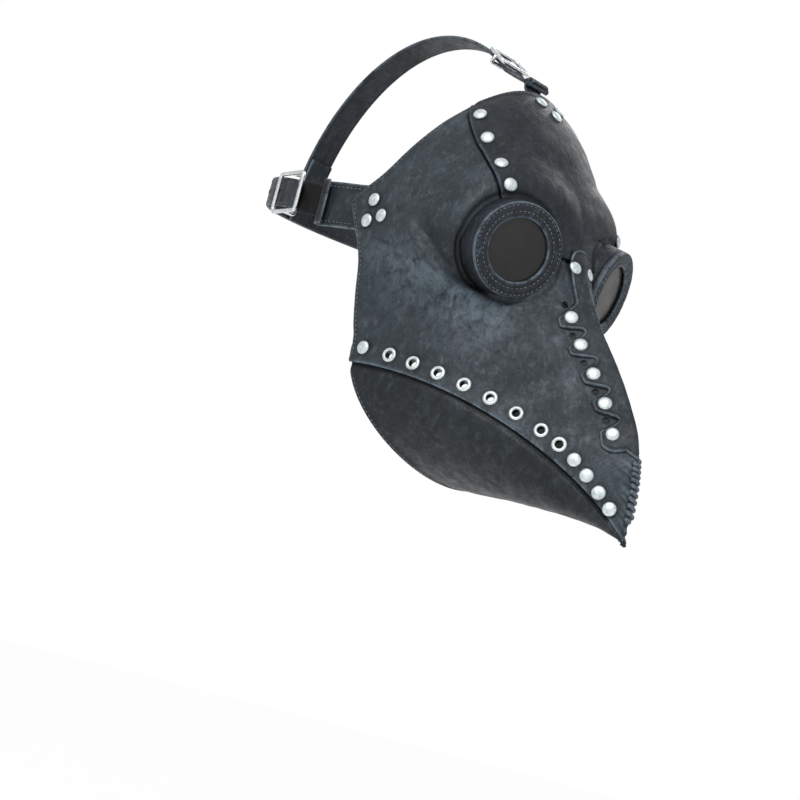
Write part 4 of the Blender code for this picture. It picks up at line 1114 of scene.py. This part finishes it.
def strapSheet(name, middle, outs, wides, widths, thicknessMm, finish, edgeMm=0.7, bulge=0.12):
    # a strap with rounded edges swept along points; its UV counts metres along and across
    middle, outs, wides = (np.asarray(x, float) for x in (middle, outs, wides))
    widths = np.broadcast_to(np.asarray(widths, float), (len(middle),))
    columns = 24
    t = np.linspace(-1, 1, columns)
    half = thicknessMm / 2
    run = np.concatenate([[0], np.cumsum(np.linalg.norm(np.diff(middle, axis=0), axis=1))])
    form = bmesh.new()
    wearLayer, paintedShadeLayer = form.verts.layers.float.new("wear"), form.verts.layers.float.new("soot")
    uvLayer = form.loops.layers.uv.new("strap")
    rings = []
    for k in range(len(middle)):
        w = widths[k] / mm / 2
        ring = []
        section = [(x, 1) for x in t] + [(x, -1) for x in t[::-1]]
        for x, face in section:
            inset = w * (1 - abs(x))
            edge = math.sqrt(max(0.0, 1 - max(0.0, 1 - inset / min(edgeMm, w * 0.9)) ** 2))
            groove = 0.16 * math.exp(-((inset - 2.4) / 0.5) ** 2)
            z = face * (half * (0.25 + 0.75 * edge) + bulge * (1 - x * x) - groove)
            spot = middle[k] + wides[k] * (x * w * mm) + outs[k] * (z * mm)
            vert = form.verts.new(spot)
            vert[wearLayer] = math.exp(-(inset / 0.9) ** 2)
            # painted shade along the stitch groove
            vert[paintedShadeLayer] = 0.6 * math.exp(-((inset - 2.4) / 0.6) ** 2)
            ring.append((vert, x * w * mm))
        rings.append(ring)
    size = len(rings[0])
    for k in range(len(rings) - 1):
        for j in range(size):
            n = (j + 1) % size
            face = form.faces.new((rings[k][j][0], rings[k][n][0], rings[k + 1][n][0], rings[k + 1][j][0]))
            for loop, (kk, jj) in zip(face.loops, ((k, j), (k, n), (k + 1, n), (k + 1, j))):
                loop[uvLayer].uv = (run[kk], rings[kk][jj][1])
    form.faces.new([r[0] for r in rings[0]][::-1])
    form.faces.new([r[0] for r in rings[-1]])
    bmesh.ops.recalc_face_normals(form, faces=form.faces)
    mesh = bpy.data.meshes.new(name)
    form.to_mesh(mesh)
    form.free()
    return smoothShaded(addPiece(name, mesh, finish), 50)


# Beak lacing: one waxed thread whipped over the front edge, from the strip to the tip
lacing = {"first": 11.5, "last": 12.66, "turns": 10, "threadMm": 1.35, "sideMm": 2.5, "aheadMm": 0.9}


def lacingThread():
    perTurn = 16
    count = lacing["turns"] * perTurn
    points = []
    for k in range(count + 1):
        share = k / count
        u = lacing["first"] + (lacing["last"] - lacing["first"]) * share
        a = 2 * math.pi * k / perTurn
        edge = skin(np.array(u), np.array(0.0))
        out = normals(skin, np.array(u), np.array(0.0))
        out = Vector((0, out[1], out[2])).normalized()
        spot = Vector(edge) + out * ((0.2 + lacing["aheadMm"] * math.cos(a)) * mm)
        spot.x += lacing["sideMm"] * math.sin(a) * mm
        points.append(spot)
    return tube("thread_beak_lacing", points, lacing["threadMm"] * mm, laceThread, around=10)


onShell(lacingThread(), ["beak_lacing"])
print("lacing made")

harness = {
    "headHalfWidth": 80 * mm, "headCentre": 145 * mm, "headBack": 252 * mm, "headTop": 155 * mm,
    "level": 15 * mm, "rise": 0.16, "strapWidth": 20 * mm, "webWidth": 21 * mm, "crownWidth": 22 * mm,
    "tabWidth": 30 * mm, "foldRadius": 1.9 * mm, "foldGap": 0.4 * mm, "foldWall": 1.6 * mm,
    "webRun": 34 * mm, "sliderRun": 36 * mm, "strapRun": 25 * mm, "strapOut": 2.3 * mm, "wire": 1.4 * mm,
    "backGap": 0.4 * mm,
}


def headPoint(turn, out=0.0):
    depth = harness["headBack"] - harness["headCentre"]
    wide = harness["headHalfWidth"]
    point = Vector((-wide * math.cos(turn), harness["headCentre"] + depth * math.sin(turn), 0))
    outward = Vector((-math.cos(turn) / wide, math.sin(turn) / depth, 0)).normalized()
    point += outward * out
    point.z = harness["level"] + harness["rise"] * (point.y - harness["headCentre"])
    return point, outward


def headTurn(run):
    turn, travelled = 0.0, 0.0
    while travelled < run:
        travelled += (headPoint(turn + 0.002)[0] - headPoint(turn)[0]).length
        turn += 0.002
    return turn


def crownPoint(turn, out=0.0):
    depth, rise = harness["headBack"] - harness["headCentre"], harness["headTop"] - harness["level"]
    outward = Vector((0, -math.cos(turn) / depth, math.sin(turn) / rise)).normalized()
    return Vector((0, harness["headCentre"] - depth * math.cos(turn),
                   harness["level"] + rise * math.sin(turn))) + outward * out, outward


def tongue(runs, width, lengthMm):
    # widths of a strap that ends in a round tongue
    t = np.clip(np.asarray(runs) / (lengthMm * mm), 0, 1)
    return width * np.sqrt(np.clip(1 - (1 - t) ** 2.2, 0.02, 1))


def ringWire(name, origin, out, wide, width, stack, lengthMm, side):
    # oblong ring of wire over the straps, with its bar behind them
    along = wide.cross(out).normalized()
    halfLong, halfWide = lengthMm / 2 * mm, width / 2 + harness["wire"] + 1.2 * mm
    front, behind = stack / 2 + harness["wire"] + 0.4 * mm, -stack / 2 - harness["wire"] - 0.7 * mm
    corner = 3 * mm
    points = []
    for cx, cz, start in ((1, 1, 0), (-1, 1, 90), (-1, -1, 180), (1, -1, 270)):
        for k in range(9):
            a = math.radians(start + 90 * k / 8)
            points.append(origin + along * (cx * (halfLong - corner) + corner * math.cos(a))
                          + wide * (cz * (halfWide - corner) + corner * math.sin(a)) + out * front)
    bar = []
    for z, deep in ((1, front), (1, behind), (-1, behind), (-1, front)):
        bar.append(origin + wide * (z * halfWide) + out * deep)
    path = [bar[0]]
    for a, b, c in ((bar[0], bar[1], bar[2]), (bar[1], bar[2], bar[3])):
        into, off = (a - b).normalized() * 1.6 * mm, (c - b).normalized() * 1.6 * mm
        path += [b + into * (1 - t) ** 2 + off * t ** 2 for t in np.linspace(0, 1, 8)]
    path.append(bar[3])
    flip = np.array((-side, 1, 1))
    wire = harness["wire"]
    ring = tube(name, [np.array(p) * flip for p in points], wire, wireNickel, closed=True, around=16)
    rod = tube(name + "_bar", [np.array(p) * flip for p in path], wire * 0.93, wireNickel, around=16)
    return ring, rod


def edgeStitches(middle, outs, wides, widths, insetMm, riseMm, skip=0):
    rows = []
    middle, outs, wides = (np.asarray(x, float)[skip:] for x in (middle, outs, wides))
    widths = np.broadcast_to(np.asarray(widths, float), (len(middle) + skip,))[skip:]
    for sign in (-1, 1):
        line = middle + wides * (sign * (widths[:, None] / 2 - insetMm * mm)) + outs * (riseMm * mm)
        rows.append(evenly(line, outs, borderStitch["pitchMm"]))
    return rows


up = Vector((0, 0, 1))
for label, side in sides.items():
    flip = np.array((-side, 1, 1))
    strapBody, sliderBody = "side_strap_" + label, "slider_" + label
    # side webbing with its rolled end at the temple fold
    foldPoint = headPoint(0)[0]
    turns = np.linspace(headTurn(0.3 * mm), headTurn(harness["webRun"]), 40)
    middle = np.array([headPoint(t)[0] for t in turns]) * flip
    outs = np.array([headPoint(t)[1] for t in turns]) * flip
    wides = np.array([up] * len(turns))
    web = strapSheet("webbing_side_" + label, middle, outs, wides, harness["webWidth"], 1.8, blackWebbing,
                     0.8, 0.05)
    roll = strapSheet("webbing_roll_" + label, [(foldPoint.x * -side, foldPoint.y, foldPoint.z + z) for z in
                      np.linspace(-1, 1, 12) * harness["webWidth"] / 2], [(1, 0, 0)] * 12, [(0, 1, 0)] * 12,
                      harness["foldRadius"] * 1.95, 3.6, blackWebbing, 1.8, 0.0)
    for piece in (web, roll):
        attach(piece, strapBody)
    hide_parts("side_webbing_" + label)
    # rear strap: hide-faced, with a round tongue, stitched borders and adjusting slits
    endTurn = math.pi / 2 - harness["backGap"] / harness["headHalfWidth"]
    tongueAt, bodyAt = headTurn(harness["strapRun"]), headTurn(harness["strapRun"] + 12 * mm)
    turns = np.concatenate([np.linspace(tongueAt, bodyAt, 26)[:-1], np.linspace(bodyAt, endTurn, 90)])
    middle = np.array([headPoint(t, harness["strapOut"])[0] for t in turns])
    run = np.concatenate([[0], np.cumsum(np.linalg.norm(np.diff(middle, axis=0), axis=1))])
    outs = np.array([headPoint(t)[1] for t in turns])
    curl = 0.7 * mm * np.clip(1 - run / (9 * mm), 0, 1) ** 2
    middle = (middle + outs * curl[:, None]) * flip
    outs = outs * flip
    widths = tongue(run, harness["strapWidth"], 8)
    wides = np.array([up] * len(turns))
    strap = strapSheet("hide_rear_strap_" + label, middle, outs, wides, widths, 2.2, strapHide)
    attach(strap, strapBody)
    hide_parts("rear_strap_" + label)
    seams = copiesAt("stitches_rear_strap_" + label, seamStitch,
                     *joined(edgeStitches(middle, outs, wides, widths, 2.4, 1.08, 22)), seamThread, 0.12)
    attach(seams, strapBody)
    spots = [k for k in range(len(turns)) if run[k] > 14 * mm][::9][:6]
    slits = copiesAt("slit_bindings_" + label, stitchShape(4.2, 0.55),
                     [middle[k] + outs[k] * 1.1 * mm for k in spots], [outs[k] for k in spots],
                     [(0, 0, 1)] * len(spots), tabHide)
    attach(slits, strapBody)
    # wire slider
    turnAt = headTurn(harness["sliderRun"])
    origin = headPoint(turnAt, harness["strapOut"] / 2)[0]
    out = headPoint(turnAt)[1]
    ring, rod = ringWire("wire_slider_" + label, origin, out, up, harness["webWidth"], 4.3 * mm, 30, side)
    for piece in (ring, rod):
        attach(piece, sliderBody)
    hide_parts("strap_slider_" + label)


def templeTab(label, side):
    # hide tab riveted inside the temple, running back past the rim and rolled round the webbing's end
    under = -3.2 * mm
    fold, wall = harness["foldRadius"] + harness["foldGap"], harness["foldWall"]
    foldPoint = headPoint(0)[0]
    heights = harness["level"] + harness["tabWidth"] * np.linspace(0.5, -0.5, 30)
    rows = []
    for z in heights:
        row = []
        for v in np.linspace(0.82, 1.0, 12):
            low, high = 0.0, float(lastSection)
            for _ in range(30):
                middle = (low + high) / 2
                low, high = (middle, high) if skin(np.array(middle), np.array(v))[2] > z else (low, middle)
            row.append(skin(np.array(low), np.array(v)) + normals(skin, np.array(low), np.array(v)) * under)
        last = row[-1]
        endX = foldPoint.x + fold + wall / 2
        for share in np.linspace(0.08, 1.0, 12):
            t = share * share * (3 - 2 * share)
            row.append(np.array((last[0] + (endX - last[0]) * t,
                                 last[1] + (foldPoint.y - last[1]) * share, z)))
        for angle in np.linspace(0, 232, 26)[1:]:
            a = math.radians(-angle)
            r = fold + wall / 2
            row.append(np.array((foldPoint.x + r * math.cos(a), foldPoint.y - r * math.sin(a), z)))
        rows.append(row)
    points = np.array(rows)
    run = runLength(points, 1)
    edge = np.minimum(np.linspace(0, 1, 30), 1 - np.linspace(0, 1, 30))[:, None] * harness["tabWidth"] / mm
    edge = np.minimum(edge, run[:, -1:] - run)
    # painted shade along the stitch groove
    marks = {"wear": np.exp(-(edge / 1.0) ** 2), "soot": 0.6 * np.exp(-((edge - 2.6) / 0.6) ** 2)}
    mesh = gridMesh("temple_tab_" + label, points, marks, side)
    piece = addPiece("hide_temple_tab_" + label, mesh, tabHide)
    step = piece.modifiers.new("wall", "SOLIDIFY")
    step.thickness = wall - 0.1 * mm
    step.offset = 0
    applied(piece)
    onShell(smoothShaded(piece, 50), ["temple_tab_" + label])
    spots = []
    for k in (3, 26):
        line = points[k, 13:30]
        outs = np.cross(np.gradient(line, axis=0), (0, 0, 1.0))
        outs = outs / np.linalg.norm(outs, axis=1, keepdims=True)
        outs *= np.sign(outs[:1, :1]) * -1
        spots.append(evenly(mirrored(line + outs * 0.8 * mm, side), mirrored(outs, side),
                            borderStitch["pitchMm"]))
    onShell(copiesAt("stitches_temple_" + label, seamStitch, *joined(spots), seamThread, 0.12))


for label, side in sides.items():
    templeTab(label, side)
print("side harness made")

# crown tab, strap and slider
crownLook = {"tabEnd": -0.45, "start": math.radians(56), "end": math.radians(166.5), "lift": 1.7 * mm,
             "sliderAt": math.radians(62), "tabDrop": -2.0 * mm}
tabOut = normals(skin, np.array(crownLook["tabEnd"]), np.array(0.0))
tabOut = Vector((0, tabOut[1], tabOut[2])).normalized()
foldR = harness["foldRadius"] + harness["foldGap"]
tabEdge = Vector(skin(np.array(crownLook["tabEnd"]), np.array(0.0)))
tabEdge.x = 0
crownFold = tabEdge + tabOut * (crownLook["tabDrop"] + foldR)
tabAlong = Vector((1, 0, 0)).cross(-tabOut)


def crownTab():
    us = np.linspace(1.35, crownLook["tabEnd"], 30)
    s = np.linspace(-1, 1, 31)
    rows = []
    for u in us:
        share = ridgeShare(max(u, 0), harness["crownWidth"] * 0.55) * s
        points, out = mirroredSheet(np.full_like(share, u), share)
        rows.append(points + out * (crownLook["tabDrop"] - 0.8 * mm))
    wall = harness["foldWall"]
    lastRow = rows[-1]
    for angle in np.linspace(0, 215, 22)[1:]:
        a = math.radians(angle)
        offset = (-tabOut * math.cos(a) + tabAlong * math.sin(a)) * (foldR + wall / 2)
        centre = crownFold + offset
        rows.append(np.array([(x, centre.y, centre.z) for x in lastRow[:, 0]]))
    points = np.array(rows)
    fromSide = np.minimum(np.arange(31), 30 - np.arange(31)) * harness["crownWidth"] * 1.1 / 30 / mm
    edge = fromSide * np.ones((len(rows), 1))
    # painted shade along the stitch groove
    marks = {"wear": np.exp(-(edge / 1.0) ** 2), "soot": 0.6 * np.exp(-((edge - 2.6) / 0.6) ** 2)}
    mesh = gridMesh("crown_tab", points, marks, -1)
    piece = addPiece("hide_crown_tab", mesh, tabHide)
    step = piece.modifiers.new("wall", "SOLIDIFY")
    step.thickness = wall - 0.1 * mm
    step.offset = 0
    applied(piece)
    return smoothShaded(piece, 50)


onShell(crownTab(), ["crown_tab"])

turns = np.linspace(crownLook["start"], crownLook["end"], 110)
pathPoints = [crownPoint(t, crownLook["lift"]) for t in turns]
lead = [crownFold.lerp(pathPoints[0][0], t) for t in np.linspace(0, 1, 14)[:-1]]
leadOuts = [tabOut.lerp(pathPoints[0][1], t).normalized() for t in np.linspace(0, 1, 14)[:-1]]
middle = np.array([tuple(p) for p in lead] + [tuple(p[0]) for p in pathPoints])
outs = np.array([tuple(p) for p in leadOuts] + [tuple(p[1]) for p in pathPoints])
wides = np.array([(1.0, 0, 0)] * len(middle))
crownStrap = strapSheet("hide_crown_strap", middle, outs, wides, harness["crownWidth"], 2.2, strapHide)
rollXs = np.linspace(-1, 1, 12) * harness["crownWidth"] / 2
crownRoll = strapSheet("hide_crown_roll", [(x, crownFold.y, crownFold.z) for x in rollXs],
                       [tuple(tabOut)] * 12, [tuple(tabAlong)] * 12, harness["foldRadius"] * 1.95, 3.6,
                       strapHide, 1.8, 0.0)
crownSeams = copiesAt("stitches_crown_strap", seamStitch, *joined(edgeStitches(middle, outs, wides,
                      harness["crownWidth"], 2.4, 1.08, 6)), seamThread, 0.12)
patchTurns = np.linspace(math.radians(158), math.radians(177), 30)
patchPath = [crownPoint(t, -0.9 * mm) for t in patchTurns]
patch = strapSheet("hide_back_patch", [tuple(p[0]) for p in patchPath], [tuple(p[1]) for p in patchPath],
                   [(1.0, 0, 0)] * 30, 20 * mm, 2.2, tabHide)
for piece, slotName in ((crownStrap, "distressed_hide"), (crownRoll, "distressed_hide"),
                        (crownSeams, "waxed_thread"), (patch, "edge_hide")):
    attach(piece, "crown_harness")
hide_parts("crown_strap")
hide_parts("back_patch")
origin, out = crownPoint(crownLook["sliderAt"], crownLook["lift"])
ring, rod = ringWire("wire_crown_slider", origin, out, Vector((1, 0, 0)), harness["crownWidth"], 2.2 * mm,
                     17, -1)
for piece in (ring, rod):
    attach(piece, "crown_slide")
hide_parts("crown_slider")
for template in list(bpy.data.objects):
    if template.name.split(".")[0] in ("rivet_shape", "eyelet_shape", "stitch_shape"):
        bpy.data.objects.remove(template)
print("crown harness made")


def paperSweep():
    finish, tree, shader = newFinish("matt_white_paper")
    coords = addNode(tree, "ShaderNodeTexCoord").outputs["Object"]
    fibre = addNode(tree, "ShaderNodeTexNoise", {}, {"Vector": coords, "Scale": 1 / (60.0 * mm), "Detail": 4,
                                                     "Roughness": 0.6}).outputs["Fac"]
    colour = addNode(tree, "ShaderNodeValToRGB", {"stops": [(0.3, "fbfbfb"), (0.7, "ffffff")]},
                     {"Fac": fibre}).outputs["Color"]
    tree.links.new(colour, shader.inputs["Base Color"])
    shader.inputs["Roughness"].default_value = 0.9
    mesh = bpy.data.meshes.new("floor")
    s, level = 60.0, -0.75
    mesh.from_pydata([(-s, -s, level), (s, -s, level), (s, s, level), (-s, s, level)], [], [(0, 1, 2, 3)])
    floor = addPiece("floor", mesh, finish)


paperSweep()
world = bpy.data.worlds.new("studio")
scene.world = world
world.use_nodes = True
world.node_tree.nodes["Background"].inputs["Color"].default_value = (1, 1, 1, 1)
world.node_tree.nodes["Background"].inputs["Strength"].default_value = 1.0
scene.view_settings.view_transform = "Standard"


def softbox(name, spot, aim, size, power):
    light = bpy.data.lights.new(name, "AREA")
    light.shape, light.size, light.energy = "DISK", size, power
    lamp = bpy.data.objects.new(name, light)
    lamp.location = spot
    lamp.rotation_euler = (Vector(aim) - Vector(spot)).to_track_quat("-Z", "Y").to_euler()
    scene.collection.objects.link(lamp)


softbox("key", (-1.5, -0.75, 1.35), (0, 0, 0), 0.6, 34)
softbox("fill", (-0.3, -2.0, 0.2), (0, 0, -0.05), 1.2, 3)
softbox("rim", (1.4, 0.6, 1.2), (0, 0, 0), 0.8, 8)

camera = bpy.data.cameras.new("camera")
camera.lens, camera.sensor_width, camera.clip_end = 107.24, 36, 100
viewer = bpy.data.objects.new("camera", camera)
right, toward = Vector((0.648, -0.720, 0.247)), Vector((-0.714, -0.688, -0.132)).normalized()
right = (right - toward * right.dot(toward)).normalized()
viewer.matrix_world = Matrix.Translation((-1.1171, -0.9639, -0.2999)) @ Matrix(
    (right, toward.cross(right), toward)).transposed().to_4x4()
scene.collection.objects.link(viewer)
scene.camera = viewer
print("stage set")
